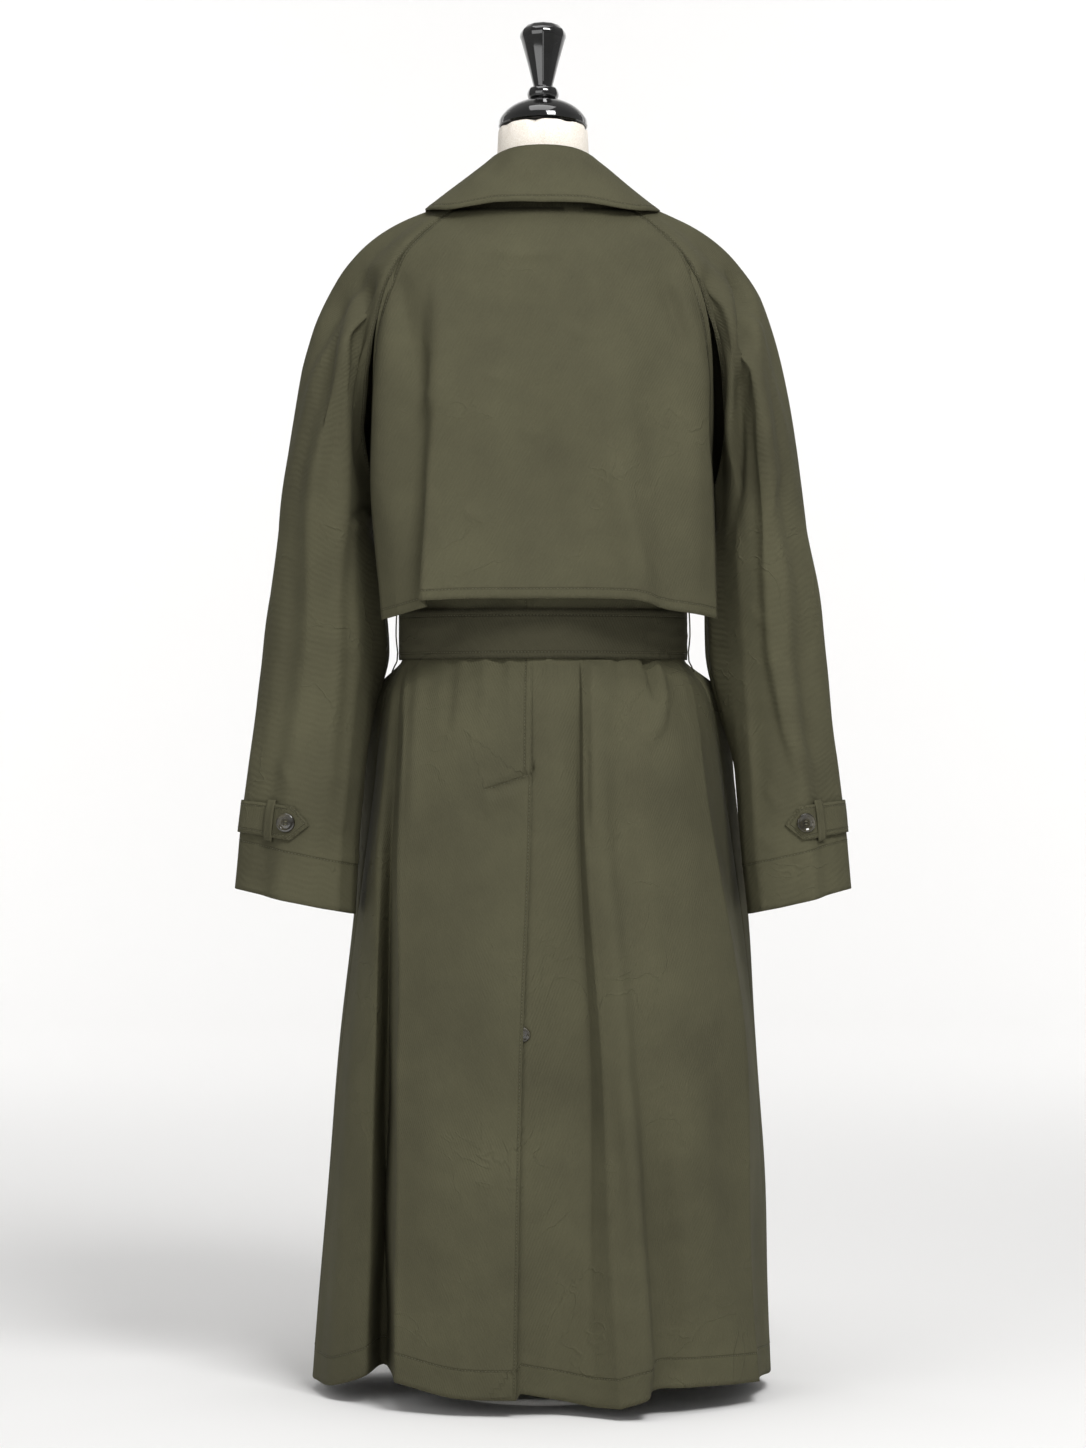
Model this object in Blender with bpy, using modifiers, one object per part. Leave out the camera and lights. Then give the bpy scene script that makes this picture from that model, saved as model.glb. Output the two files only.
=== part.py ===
"""A belted raglan trench coat worn by a limbless dress form on a low round stand.

Millimetres in the tables, metres in the scene. The wearer faces +Y, the back of the coat faces -Y, +Z is up,
and the origin is the middle of the stand's foot on the floor.
"""

import math

import bmesh
import bpy
import numpy as np
from mathutils import Matrix, Vector

MM = 0.001

# Cloth and seams
CLOTH = 1.5  # gabardine with its facing
BELT_CLOTH = 2.6  # two layers and an interlining
SEAM = 0.2  # each piece stops this far short of its seam line
WIDE_SEAM = 0.95  # the same, where the cloth bends across the seam
LAYER = 0.5  # air between two layers that lie on each other

# Heights of the coat
NECKLINE = 1190
ARMPIT = 905
BELT_TOP = 779
BELT_BOTTOM = 731
BLOOM = 695  # where the gathers under the belt have opened
HIP = 600
KNEE = 330
VENT_TOP = 621
VENT_SLANT = 603  # lower end of the slanted stitching at the vent
VENT_AIR = 3.4  # air behind the vent edge, where the button sits
UNDERLAP = 47  # how far the right back reaches under the left one
BREAK = 930  # where the lapels start to roll

# Rows of the back: the raglan seam down to the armpit, then the side seam.
# turn is how far the row bends round.
BACK_COLUMNS = ("height", "edge_x", "edge_y", "centre_y", "turn")
BACK_ROWS = (
    (1190, 62, -50, -66, 60),
    (1172, 88, -66, -84, 58),
    (1150, 115, -78, -99, 56),
    (1125, 138, -86, -110, 56),
    (1095, 154, -88, -117, 58),
    (1060, 163, -84, -121, 62),
    (1015, 168, -66, -123, 70),
    (960, 170, -40, -123, 80),
    (905, 168, -8, -121, 88),
    (850, 157, 0, -119, 90),
    (779, 141, 0, -119, 90),
    (731, 141, 0, -120, 90),
)
FRONT_ROWS = (
    (1190, 68, 22, 40, 60),
    (1165, 90, 34, 64, 60),
    (1140, 113, 50, 86, 60),
    (1110, 134, 62, 105, 60),
    (1075, 150, 66, 121, 62),
    (1030, 160, 58, 132, 68),
    (975, 167, 34, 137, 78),
    (905, 168, -8, 136, 88),
    (850, 157, 0, 128, 90),
    (779, 141, 0, 118, 90),
    (731, 141, 0, 118, 90),
)

# Fold lines of the skirt. share is the place along the row from the middle (0) to the side seam (1).
# bloom is how much of the flare from belt to hip is reached just below the belt.
SKIRT_COLUMNS = (
    "name", "kind", "share", "bloom", "hip_x", "hip_y", "knee_x", "knee_y",
    "hem_x", "hem_y", "hem_z", "steps",
)
BACK_RIGHT_FOLDS = (
    ("centre_seam", "soft", -0.045, 0.55, -11, -147.6, -20, -160, -26, -164, 24, 2),
    ("vent_trough", "soft", 0.07, 0.55, 14, -149, 15, -152, 14, -158, 16, 2),
    ("pleat_foot", "crease", 0.16, 0.55, 36, -141, 44, -150, 48, -172, 11, 1),
    ("pleat_edge", "crease", 0.165, 0.55, 40, -156, 56, -170, 74, -190, 12, 2),
    ("pleat_face", "soft", 0.28, 0.55, 58, -156, 80, -174, 99, -188, 20, 1),
    ("pleat_return", "soft", 0.34, 0.55, 72, -151, 90, -160, 104, -164, 26, 2),
    ("hip_tuck", "soft", 0.50, 0.55, 104, -143, 128, -148, 146, -146, 26, 2),
    ("side_crease", "crease", 0.79, 0.50, 162, -92, 197, -94, 213, -80, 22, 1),
    ("side_shade", "soft", 0.85, 0.52, 167, -64, 202, -62, 216, -48, 21, 1),
    ("side_seam", "soft", 1.0, 0.60, 182, 2, 213, 2, 228, 6, 18, 1),
)
BACK_LEFT_FOLDS = (
    ("vent_edge", "soft", 0.045, 0.55, 11, -150.5, 20, -163.5, 26, -169, 17, 3),
    ("flat_panel", "soft", 0.40, 0.55, 80, -148, 83, -158, 85, -164, 18, 3),
    ("panel_crease", "crease", 0.78, 0.55, 141, -122, 142, -132, 145, -138, 30, 1),
    ("deep_fold", "crease", 0.80, 0.55, 147, -76, 153, -54, 158, -36, 32, 1),
    ("lobe_edge", "soft", 0.86, 0.55, 155, -74, 164, -84, 173, -90, 29, 2),
    ("lobe_face", "soft", 0.93, 0.55, 163, -40, 187, -58, 205, -64, 16, 2),
    ("side_seam", "soft", 1.0, 0.60, 170, 2, 203, 2, 231, 6, 12, 1),
)
FRONT_FOLDS = (
    ("side_seam", "soft", 1.0, 0.60, 170, 2, 203, 2, 229, 6, 15, 1),
    ("side_swell", "soft", 0.90, 0.78, 0, 40, 0, 38, 0, 46, 16, 1),
    ("pocket_swell", "soft", 0.78, 0.65, 156, 76, 184, 94, 204, 104, 16, 2),
    ("front_trough", "soft", 0.58, 0.55, 116, 112, 136, 124, 150, 128, 20, 2),
    ("front_swell", "soft", 0.30, 0.55, 60, 140, 72, 162, 84, 178, 14, 2),
    ("centre_front", "soft", 0.0, 0.55, 0, 144, 0, 160, 0, 170, 16, 2),
    ("front_swell_2", "soft", -0.30, 0.55, -60, 140, -72, 162, -84, 178, 14, 2),
    ("overlap_edge", "soft", -0.58, 0.55, -116, 112, -136, 124, -150, 128, 20, 1),
)
SIDE_SWELL = (11, 3, 0)  # how far the swell in front of the side seam stands out, at hip, knee and hem
OVERLAP_SHARE = -0.58
LAPEL_AIR = 2.1
UNDER_DEPTH = 7.6  # how far the left front lies below the right one, with its lapel between them

# Rows of the arm below the armpit, the sleeve's middle and its half width and half depth
ARM_COLUMNS = ("height", "centre_x", "centre_y", "half_x", "half_y", "slant", "reach")
ARM_LEFT_ROWS = (
    (860, 219, 2, 44, 66, 0, 7),
    (800, 222, 2, 50, 64, 0, 19),
    (740, 224, 2, 55, 62, 0, 21),
    (680, 229, -8, 57, 58, 0, 6),
    (620, 234.7, -20, 58.5, 55, 3, 0),
    (560, 240.5, -30, 59.2, 52, 8, 0),
    (492, 245, -38, 60, 50, 13, 0),
)
ARM_RIGHT_ROWS = (
    (860, 220, 2, 43, 66, 0, 8),
    (800, 227, 2, 45, 64, 0, 28),
    (740, 232, 2, 47, 62, 0, 30),
    (680, 237, -8, 49, 58, 0, 17),
    (620, 242.2, -20, 51.8, 55, 3, 0),
    (560, 247.4, -30, 52.4, 52, 8, 0),
    (492, 253.7, -38, 51.4, 50, 13, 0),
)
REACH_TURN = -165  # where the inside of the sleeve reaches furthest towards the body
REACH_SPREAD = 50  # degrees to either side that this reach fades over
# Fold lines of the sleeve. lead and ease bend the line over the shoulder.
# upper, middle and lower let it swell (+) or sink (-) on the way down.
SLEEVE_COLUMNS = (
    "name", "kind", "turn", "start_x", "start_y", "start_z", "lead_x", "lead_y", "lead_z",
    "ease_x", "ease_y", "ease_z", "upper", "middle", "lower", "steps",
)
SLEEVE_BACK_FOLDS = (
    ("overarm", "soft", 0, 80, -14, 1183, 140, 8, -22, -20, 4, 210, 0, 0, 0, 2),
    ("neck_end", "soft", 18, 62, -50, 1190, 102, -6, -26, -17, -6, 196, 0, 1, 1, 1),
    ("outer_1", "soft", 36, 88, -66, 1172, 78, -6, -24, -12, -8, 184, 0, -2, -1, 1),
    ("outer_2", "soft", 56, 115, -78, 1150, 56, -6, -22, -9, -9, 166, -6, -4, -3, 1),
    ("ridge", "soft", 78, 138, -86, 1125, 36, -5, -24, -8, -10, 140, 8, 6, 5, 2),
    ("back_1", "soft", 96, 154, -88, 1095, 24, -3, -26, -7, -8, 112, -7, 2, 2, 1),
    ("back_2", "soft", 114, 163, -84, 1060, 14, 0, -24, -4, -8, 88, -8, 2, 3, 1),
    ("inner_crease", "crease", 132, 168, -66, 1015, 8, 0, -24, -2, -6, 64, 0, 5, 6, 1),
    ("inner_1", "crease", 154, 170, -40, 960, 4, 0, -20, 0, -2, 40, 0, 2, 2, 1),
    ("underarm", "soft", 180, 168, -8, 905, 2, 2, -12, -1, -2, 14, 0, 0, 0, 1),
)
SLEEVE_FRONT_FOLDS = (
    ("overarm", "soft", 0, 80, -14, 1183, 140, 8, -22, -20, 4, 210, 0, 0, 0, 2),
    ("neck_end", "soft", -24, 84, 20, 1176, 92, 8, -26, -17, 8, 190, 0, 0, 0, 1),
    ("outer_1", "soft", -48, 113, 50, 1140, 62, 8, -26, -12, 10, 160, 0, 0, 0, 1),
    ("outer_2", "soft", -72, 134, 62, 1110, 42, 8, -26, -8, 10, 130, 0, 3, 3, 1),
    ("front_1", "soft", -96, 150, 66, 1075, 26, 6, -26, -6, 10, 104, 0, 0, 0, 1),
    ("front_2", "soft", -122, 160, 58, 1030, 12, 6, -26, -3, 6, 74, 0, 3, 2, 1),
    ("inner_1", "soft", -150, 167, 34, 975, 6, 2, -22, 0, 2, 44, 0, 0, 0, 1),
    ("underarm", "soft", -180, 168, -8, 905, 2, 2, -12, -1, -2, 14, 0, 0, 0, 1),
)
SHOULDER_STEPS = (0.0, 0.12, 0.26, 0.42, 0.58, 0.74, 0.88)
ARM_HEIGHTS = (860, 800, 740, 680, 620, 560, 492)

# Fold lines of the storm flap, in order from its left edge to its right one
FLAP_COLUMNS = (
    "name", "kind", "share", "chest_x", "chest_y", "mid_x", "mid_y", "hem_x", "hem_y", "hem_z", "steps",
)
FLAP_FOLDS = (
    ("left_edge", "soft", -1.0, -166, -84, -169, -84, -159, -84, 769, 1),
    ("left_swell", "soft", -0.86, -144, -108, -147, -110, -142, -104, 773, 2),
    ("tuck_inner", "crease", -0.68, -113, -112, -117, -114, -112, -124, 781, 1),
    ("tuck_outer", "crease", -0.63, -104, -127, -112, -134, -119, -147, 786, 2),
    ("left_panel", "soft", -0.38, -66, -134, -70, -141, -72, -149, 788, 2),
    ("centre", "soft", -0.05, -10, -135, -10, -140, -10, -148, 788, 2),
    ("right_panel", "soft", 0.25, 38, -135, 48, -141, 56, -147, 788, 2),
    ("right_ridge", "soft", 0.48, 70, -133, 84, -140, 100, -147, 785, 1),
    ("right_trough", "soft", 0.64, 104, -122, 112, -127, 118, -131, 779, 2),
    ("right_swell", "soft", 0.86, 142, -106, 150, -112, 150, -108, 774, 2),
    ("right_edge", "soft", 1.0, 162, -82, 168, -86, 172, -84, 770, 1),
)
FLAP_SEWN = 1060  # above this height the flap lies on the back
FLAP_HEIGHTS = (1172, 1150, 1125, 1095, 1060, 1030, 1000, 950, 900, 845)
FLAP_CHEST = 1000
FLAP_MID = 900

# The collar, from the middle of the back to its front point; the fold line and the outer edge
COLLAR_COLUMNS = (
    "name", "fold_x", "fold_y", "fold_z", "edge_x", "edge_y", "edge_z", "stand_x", "stand_y", "stand_z",
)
COLLAR_STATIONS = (
    ("centre_back", 0, -65, 1238, 0, -102, 1178, 0, -64.6, 1190.4),
    ("back_quarter", 28, -60, 1236, 46, -99, 1177, 33, -60.4, 1190.4),
    ("neck_back", 47, -40, 1231, 91, -85, 1172, 60, -48.6, 1190.4),
    ("neck_side", 57, -10, 1224, 113, -52, 1175.4, 77.6, -13.6, 1189),
    ("neck_front", 63, 22, 1208, 118, 4, 1177.0, 80, 17.5, 1180),
    ("front_quarter", 69, 46, 1186, 133, 52, 1152, 82, 37, 1172),
    ("front_point", 68, 66, 1164, 120, 100, 1100, 74, 60, 1158),
)
COLLAR_SWELL = 1.5  # how far the fall bows out between fold and edge
STAND_IN = 2.1  # the stand lies this far inside the fall at the fold
STAND_DROP = 0.9

# Buttons, straps and belt
BUTTON_RADIUS = 12
BUTTON_THICK = 3.6
CUFF_BUTTON_RADIUS = 9.5
BUTTON_COLUMNS = (62, -62)
BUTTON_HEIGHTS = (905, 815, 650, 540)
STRAP_WIDTH = 34
STRAP_HEIGHT = 569
STRAP_TIP_TURN = 96
STRAP_END_TURN = -150
STRAP_BUTTON_TURN = 80
STRAP_KEEPER_TURN = 60
POCKET_TOP = 706
POCKET_BOTTOM = 596
POCKET_PLACE = 1.62  # columns of the front panel from its side seam, at the top
POCKET_SLANT = 0.25
POCKET_WIDTHS = (0.3, 0.1, -0.1, -0.3)  # across the welt, in columns
POCKET_AIR = 2.3

# The dress form: half width, back and front at each height
FORM_COLUMNS = ("height", "half_x", "back_y", "front_y")
FORM_ROWS = (
    (1262, 45, -45, 43),
    (1235, 46, -46, 42),
    (1208, 48, -48, 41),
    (1191, 55, -53, 41),
    (1176, 76, -60, 44),
    (1163.5, 104, -68, 50),
    (1147.5, 130, -76, 56),
    (1125.5, 156, -84, 70),
    (1092, 168, -92, 84),
    (1045, 166, -98, 98),
    (1000, 158, -98, 106),
    (930, 140, -92, 100),
    (850, 121, -83, 84),
    (760, 115, -80, 80),
    (680, 138, -92, 88),
    (600, 152, -104, 94),
    (560, 152, -104, 94),
    (544, 144, -98, 88),
)
CAP_TILT = math.radians(7)
CAP_HEIGHT = 1263
POLE_RADIUS = 14
FOOT_RADIUS = 92
FOOT_THICK = 6
PAINT = (0.80, 0.80, 0.79)

OLIVE = (0.093, 0.088, 0.052)
OLIVE_DARK = (0.070, 0.066, 0.040)
HORN = (0.060, 0.052, 0.026)
LINEN = (0.86, 0.82, 0.75)
LACQUER = (0.004, 0.004, 0.004)
STEEL = (0.62, 0.62, 0.61)


# ---------------------------------------------------------------- reading the tables


def column(rows, names, name):
    """One named column of a table."""
    place = names.index(name)
    return [row[place] for row in rows]


def ease(keys, values, at):
    """A smooth line through (key, value) that never overshoots, read at one place."""
    order = np.argsort(keys)
    x = np.array(keys, float)[order]
    y = np.array(values, float)[order]
    at = min(max(at, x[0]), x[-1])
    step = np.diff(x)
    slope = np.diff(y) / step
    tangent = np.zeros(len(x))
    tangent[0] = slope[0]
    tangent[-1] = slope[-1]
    for i in range(1, len(x) - 1):
        if slope[i - 1] * slope[i] > 0:
            before = 2 * step[i] + step[i - 1]
            after = step[i] + 2 * step[i - 1]
            tangent[i] = (before + after) / (before / slope[i - 1] + after / slope[i])
    i = min(int(np.searchsorted(x, at, side="right")) - 1, len(step) - 1)
    t = (at - x[i]) / step[i]
    return float(
        (1 + 2 * t) * (1 - t) ** 2 * y[i]
        + t * (1 - t) ** 2 * step[i] * tangent[i]
        + t * t * (3 - 2 * t) * y[i + 1]
        + t * t * (t - 1) * step[i] * tangent[i + 1]
    )


def across(points, kinds, steps, closed=False):
    """A curve through the fold lines of one row, smooth at a soft line and bent at a crease."""
    points = [Vector(p) for p in points]
    count = len(points)
    ends = points[1:] + ([points[0]] if closed else [])
    chords = [b - a for a, b in zip(points, ends)]
    spans = [max(c.length, 1e-6) for c in chords]
    slopes = [c / s for c, s in zip(chords, spans)]
    leave, arrive = [], []
    for i in range(count):
        end = not closed and i in (0, count - 1)
        if end or kinds[i] == "crease":
            leave.append(slopes[i if closed else min(i, len(slopes) - 1)])
            arrive.append(slopes[i - 1 if closed else max(i - 1, 0)])
            continue
        share = spans[i - 1] / (spans[i - 1] + spans[i])
        mean = slopes[i - 1] * (1 - share) + slopes[i] * share
        leave.append(mean)
        arrive.append(mean)
    made = [points[0]]
    for i, span in enumerate(spans):
        following = (i + 1) % count
        for k in range(1, steps[i] + 1):
            t = k / steps[i]
            made.append(
                points[i] * ((1 + 2 * t) * (1 - t) ** 2)
                + leave[i] * (t * (1 - t) ** 2 * span)
                + points[following] * (t * t * (3 - 2 * t))
                + arrive[following] * (t * t * (t - 1) * span)
            )
    return made


# ---------------------------------------------------------------- the coat's surfaces, in millimetres


def body_point(rows, height, share):
    """A point of the bodice: share 0 is the middle, 1 the seam on +X and -1 the seam on -X."""
    heights = column(rows, BACK_COLUMNS, "height")
    edge_x, edge_y, centre_y, turn = (
        ease(heights, column(rows, BACK_COLUMNS, name), height) for name in BACK_COLUMNS[1:]
    )
    turn = math.radians(turn)
    angle = share * turn
    x = edge_x * math.sin(angle) / math.sin(turn)
    y = centre_y + (edge_y - centre_y) * (1 - math.cos(angle)) / (1 - math.cos(turn))
    return Vector((x, y, height))


def skirt_point(fold, rows, height, side):
    """A fold line below the belt. height runs from the belt to 0, and 0 is that line's own hem."""
    get = dict(zip(SKIRT_COLUMNS, fold))
    start = body_point(rows, BELT_BOTTOM, get["share"] * side)
    hip = Vector((get["hip_x"] * side, get["hip_y"], HIP))
    knee = Vector((get["knee_x"] * side, get["knee_y"], KNEE))
    hem = Vector((get["hem_x"] * side, get["hem_y"], get["hem_z"]))
    bloom = start.lerp(hip, get["bloom"])
    keys = (BELT_BOTTOM, BLOOM, HIP, KNEE, 0)
    line = (start, bloom, hip, knee, hem)
    x, y = (ease(keys, [p[i] for p in line], height) for i in (0, 1))
    return Vector((x, y, get["hem_z"] + height * (1 - get["hem_z"] / BELT_BOTTOM)))


BODY_HEIGHTS = (
    NECKLINE, 1172, 1150, 1125, 1095, 1060, 1015, 960, ARMPIT, 850, BELT_TOP, BELT_BOTTOM,
    BLOOM, 660, VENT_TOP, VENT_SLANT, 540, 430, KNEE, 180, 0,
)
FRONT_HEIGHTS = (
    1165, 1140, 1125, 1110, 1092, 1075, 1052, 1030, 1002, 975, 952, BREAK, ARMPIT, 850, 815,
    BELT_TOP, BELT_BOTTOM, BLOOM, 650, 540, 430, KNEE, 180, 0,
)


def panel_row(folds, rows, height, side, shift=None):
    """One row of a panel that runs from the shoulder to the hem, through its fold lines."""
    points = []
    for fold in folds:
        share = fold[SKIRT_COLUMNS.index("share")]
        if shift:
            share = shift(height, share)
        if height >= BELT_BOTTOM:
            points.append(body_point(rows, height, share * side))
        else:
            points.append(skirt_point(fold, rows, height, side))
    return points


def sample(points, folds, names):
    kinds = column(folds, names, "kind")
    steps = column(folds, names, "steps")
    return across(points, kinds, steps)


def lapel_line(height):
    """The front's inner edge above the break, as a share of the row: the neck opening's V."""
    heights = (BREAK, 975, 1030, 1075, 1110, 1140, 1165)
    return ease(heights, (-0.50, -0.22, 0.12, 0.36, 0.52, 0.64, 0.72), height)


def front_share(height, share):
    """Squeezes the shares of a front panel into what is left beside the neck opening."""
    if height <= BREAK - 40:
        return share
    opening = max(OVERLAP_SHARE, lapel_line(max(height, BREAK)))
    if height < BREAK:
        opening = OVERLAP_SHARE + (opening - OVERLAP_SHARE) * (height - BREAK + 40) / 40
    return 1 - (1 - share) * (1 - opening) / (1 - OVERLAP_SHARE)


def grid_normals(rows):
    """Unit normals of a grid of points, from its neighbours."""
    p = np.array([[tuple(v) for v in row] for row in rows], float)
    down = np.gradient(p, axis=0)
    along = np.gradient(p, axis=1)
    normal = np.cross(along, down)
    return normal / np.maximum(np.linalg.norm(normal, axis=2, keepdims=True), 1e-9)


def moved_out(rows, distance, away_from):
    """The grid moved along its normals, away from an axis; distance is one number or one for each row."""
    normals = grid_normals(rows)
    points = np.array([[tuple(v) for v in row] for row in rows], float)
    radial = points[:, :, :2] - np.array(away_from, float)
    sign = 1 if (radial * normals[:, :, :2]).sum() > 0 else -1
    moved = points + sign * np.reshape(distance, (-1, 1, 1)) * normals
    return [[Vector(p) for p in row] for row in moved]


def pulled_in(rows, top=SEAM, bottom=SEAM, first=SEAM, last=SEAM):
    """The grid with its four edges stopped short of the seam lines."""

    def towards(a, b, distance):
        gap = b - a
        return a + gap * min(0.4, distance / max(gap.length, 1e-6))

    rows = [list(row) for row in rows]
    rows[0] = [towards(a, b, top) for a, b in zip(rows[0], rows[1])]
    rows[-1] = [towards(a, b, bottom) for a, b in zip(rows[-1], rows[-2])]
    for row in rows:
        row[0] = towards(row[0], row[1], first)
        row[-1] = towards(row[-1], row[-2], last)
    return rows


def back_panel(folds, side):
    rows = []
    for height in BODY_HEIGHTS:
        points = panel_row(folds, BACK_ROWS, height, side)
        rows.append(sample(points, folds, SKIRT_COLUMNS))
    return rows


def underlap(rows, left_rows):
    """The right back reaches under the left one below the vent, following the left panel from inside."""
    near = moved_out(left_rows, -(CLOTH + LAYER), (0, 0))
    far = moved_out(left_rows, -(CLOTH + VENT_AIR), (0, 0))
    inside = []
    for height, a, b in zip(BODY_HEIGHTS, near, far):
        share = ease((0, KNEE, 540, VENT_SLANT), (1, 1, 0.2, 0), height)
        inside.append([p.lerp(q, share) for p, q in zip(a, b)])
    made = []
    for height, row, cover in zip(BODY_HEIGHTS, rows, inside):
        first, second = row[0], row[1]
        if height >= VENT_TOP:
            sunk = Vector((0, 2.8 if height == VENT_TOP else 0, 0))
            edge = [first + sunk, first.lerp(second, 0.33) + sunk, first.lerp(second, 0.66) + sunk / 2]
            made.append(edge + row[1:])
            continue
        extra = []
        for width in (UNDERLAP, UNDERLAP / 2, 0):
            extra.append(along_row(cover, width) + Vector((0, 0, 1.5)))
        made.append(extra + row[1:])
    return made


def along_row(row, distance):
    """The point this far along a row of points."""
    for a, b in zip(row, row[1:]):
        span = (b - a).length
        if distance <= span:
            return a.lerp(b, distance / span)
        distance -= span
    return row[-1]


def front_folds(side):
    """The front's fold lines, with the side seam of the back it is sewn to and the swell beside it."""
    back = BACK_RIGHT_FOLDS if side > 0 else BACK_LEFT_FOLDS
    seam = (*back[-1][:-1], FRONT_FOLDS[0][-1])
    swell = list(FRONT_FOLDS[1])
    for name, stand in zip(("hip_x", "knee_x", "hem_x"), SIDE_SWELL):
        place = SKIRT_COLUMNS.index(name)
        swell[place] = seam[place] + stand
    return (seam, tuple(swell), *FRONT_FOLDS[2:])


def under_depth(height):
    """The left front lies below the right one up to the place where the two part."""
    return ease((1010, 1080), (UNDER_DEPTH, 0), height)


def front_panel(side, under):
    rows = []
    folds = front_folds(side)
    for height in FRONT_HEIGHTS:
        points = panel_row(folds, FRONT_ROWS, height, side, front_share)
        rows.append(sample(points, folds, SKIRT_COLUMNS))
    if not under:
        return rows
    sunk = moved_out(rows, [-under_depth(height) for height in FRONT_HEIGHTS], (0, 0))
    count = len(rows[0])
    start = 2  # columns from the side seam that stay at the surface
    out = []
    for row, low in zip(rows, sunk):
        shares = [min(1.0, max(0.0, (k - start) / 2)) for k in range(count)]
        out.append([a.lerp(b, s) for a, b, s in zip(row, low, shares)])
    return out


# ---------------------------------------------------------------- sleeves


def arm_point(arm, height, turn, swell):
    """A point of the arm below the armpit; turn 0 is the outside, 90 the back, 180 the body side."""
    heights = column(arm, ARM_COLUMNS, "height")
    centre_x, centre_y, half_x, half_y, slant, reach = (
        ease(heights, column(arm, ARM_COLUMNS, name), height) for name in ARM_COLUMNS[1:]
    )
    angle = math.radians(turn)
    out = math.cos(angle)
    away = abs((turn - REACH_TURN + 180) % 360 - 180)
    swell += reach * max(0.0, 1 - away / REACH_SPREAD)
    return Vector(
        (
            centre_x + (half_x + swell) * out,
            centre_y - (half_y + swell) * math.sin(angle),
            height + slant * out,
        )
    )


def sleeve_folds():
    """The fold lines right round the sleeve: over the back to the underarm seam and home by the front."""
    ring = (*SLEEVE_BACK_FOLDS, *reversed(SLEEVE_FRONT_FOLDS[1:-1]))
    steps = [fold[-1] for fold in (*SLEEVE_BACK_FOLDS[:-1], *reversed(SLEEVE_FRONT_FOLDS[:-1]))]
    return [dict(zip(SLEEVE_COLUMNS, fold)) for fold in ring], steps


def arm_ring(arm, height, steps):
    named, own_steps = sleeve_folds()
    points = [
        arm_point(arm, height, g["turn"], ease((492, 680), (g["lower"], g["middle"]), height)) for g in named
    ]
    return across(points, [g["kind"] for g in named], steps or own_steps, closed=True)


def shoulder_ring(arm, t):
    named, steps = sleeve_folds()
    points = []
    for g in named:
        start = Vector((g["start_x"], g["start_y"], g["start_z"]))
        swell = ease((0, 0.55, 1), (0, g["upper"], g["middle"]), t)
        end = arm_point(arm, 860, g["turn"], swell)
        lead = start + Vector((g["lead_x"], g["lead_y"], g["lead_z"]))
        rise = end + Vector((g["ease_x"], g["ease_y"], g["ease_z"]))
        a, b, c, d = (1 - t) ** 3, 3 * t * (1 - t) ** 2, 3 * t * t * (1 - t), t**3
        points.append(start * a + lead * b + rise * c + end * d)
    return across(points, [g["kind"] for g in named], steps, closed=True)


def sleeve_halves(arm):
    """Rows of the back and the front half of a sleeve on +X, from the raglan seam to the cuff."""
    split = sum(fold[-1] for fold in SLEEVE_BACK_FOLDS[:-1])
    rings = [shoulder_ring(arm, t) for t in SHOULDER_STEPS] + [arm_ring(arm, h, None) for h in ARM_HEIGHTS]
    back = [ring[: split + 1] for ring in rings]
    front = [list(reversed(ring[split:])) for ring in rings]
    return back, front


def sleeve_surface(arm, height, turn):
    """A point of the finished sleeve at a height below the armpit, and the way out of it."""
    fine = 12
    named, steps = sleeve_folds()
    ring = arm_ring(arm, height, [fine] * len(steps))
    turns = [g["turn"] % 360 for g in named] + [360]
    fine_turns = []
    for a, b in zip(turns, turns[1:]):
        fine_turns += [a + (b - a) * k / fine for k in range(fine)]
    fine_turns.append(360)
    here = Vector([float(np.interp(turn % 360, fine_turns, [p[i] for p in ring])) for i in range(3)])
    heights = column(arm, ARM_COLUMNS, "height")
    x, y = (ease(heights, column(arm, ARM_COLUMNS, name), height) for name in ("centre_x", "centre_y"))
    return here, (here - Vector((x, y, here.z))).normalized()


# ---------------------------------------------------------------- Blender objects


def clear_scene():
    for obj in list(bpy.data.objects):
        bpy.data.objects.remove(obj)


def collection(name):
    made = bpy.data.collections.new(name)
    bpy.context.scene.collection.children.link(made)
    return made


def finish_of(name, colour, roughness, metallic=0.0):
    made = bpy.data.materials.new(name)
    made.use_nodes = True
    shader = made.node_tree.nodes["Principled BSDF"]
    shader.inputs["Base Color"].default_value = (*colour, 1)
    shader.inputs["Roughness"].default_value = roughness
    shader.inputs["Metallic"].default_value = metallic
    return made


clear_scene()
COAT = collection("trench_coat")
FORM = collection("dress_form")
GABARDINE = finish_of("gabardine", OLIVE, 0.78)
SHADED = finish_of("gabardine_belt", OLIVE_DARK, 0.8)
HORN_FINISH = finish_of("horn", HORN, 0.25)
LINEN_FINISH = finish_of("linen", LINEN, 0.85)
LACQUER_FINISH = finish_of("lacquer", LACQUER, 0.08)
STEEL_FINISH = finish_of("satin_steel", STEEL, 0.35, 1.0)
PAINT_FINISH = finish_of("powder_coat", PAINT, 0.4)


def add_mesh(name, mesh, finish, group=COAT):
    obj = bpy.data.objects.new(name, mesh)
    mesh.materials.append(finish)
    group.objects.link(obj)
    return obj


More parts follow.
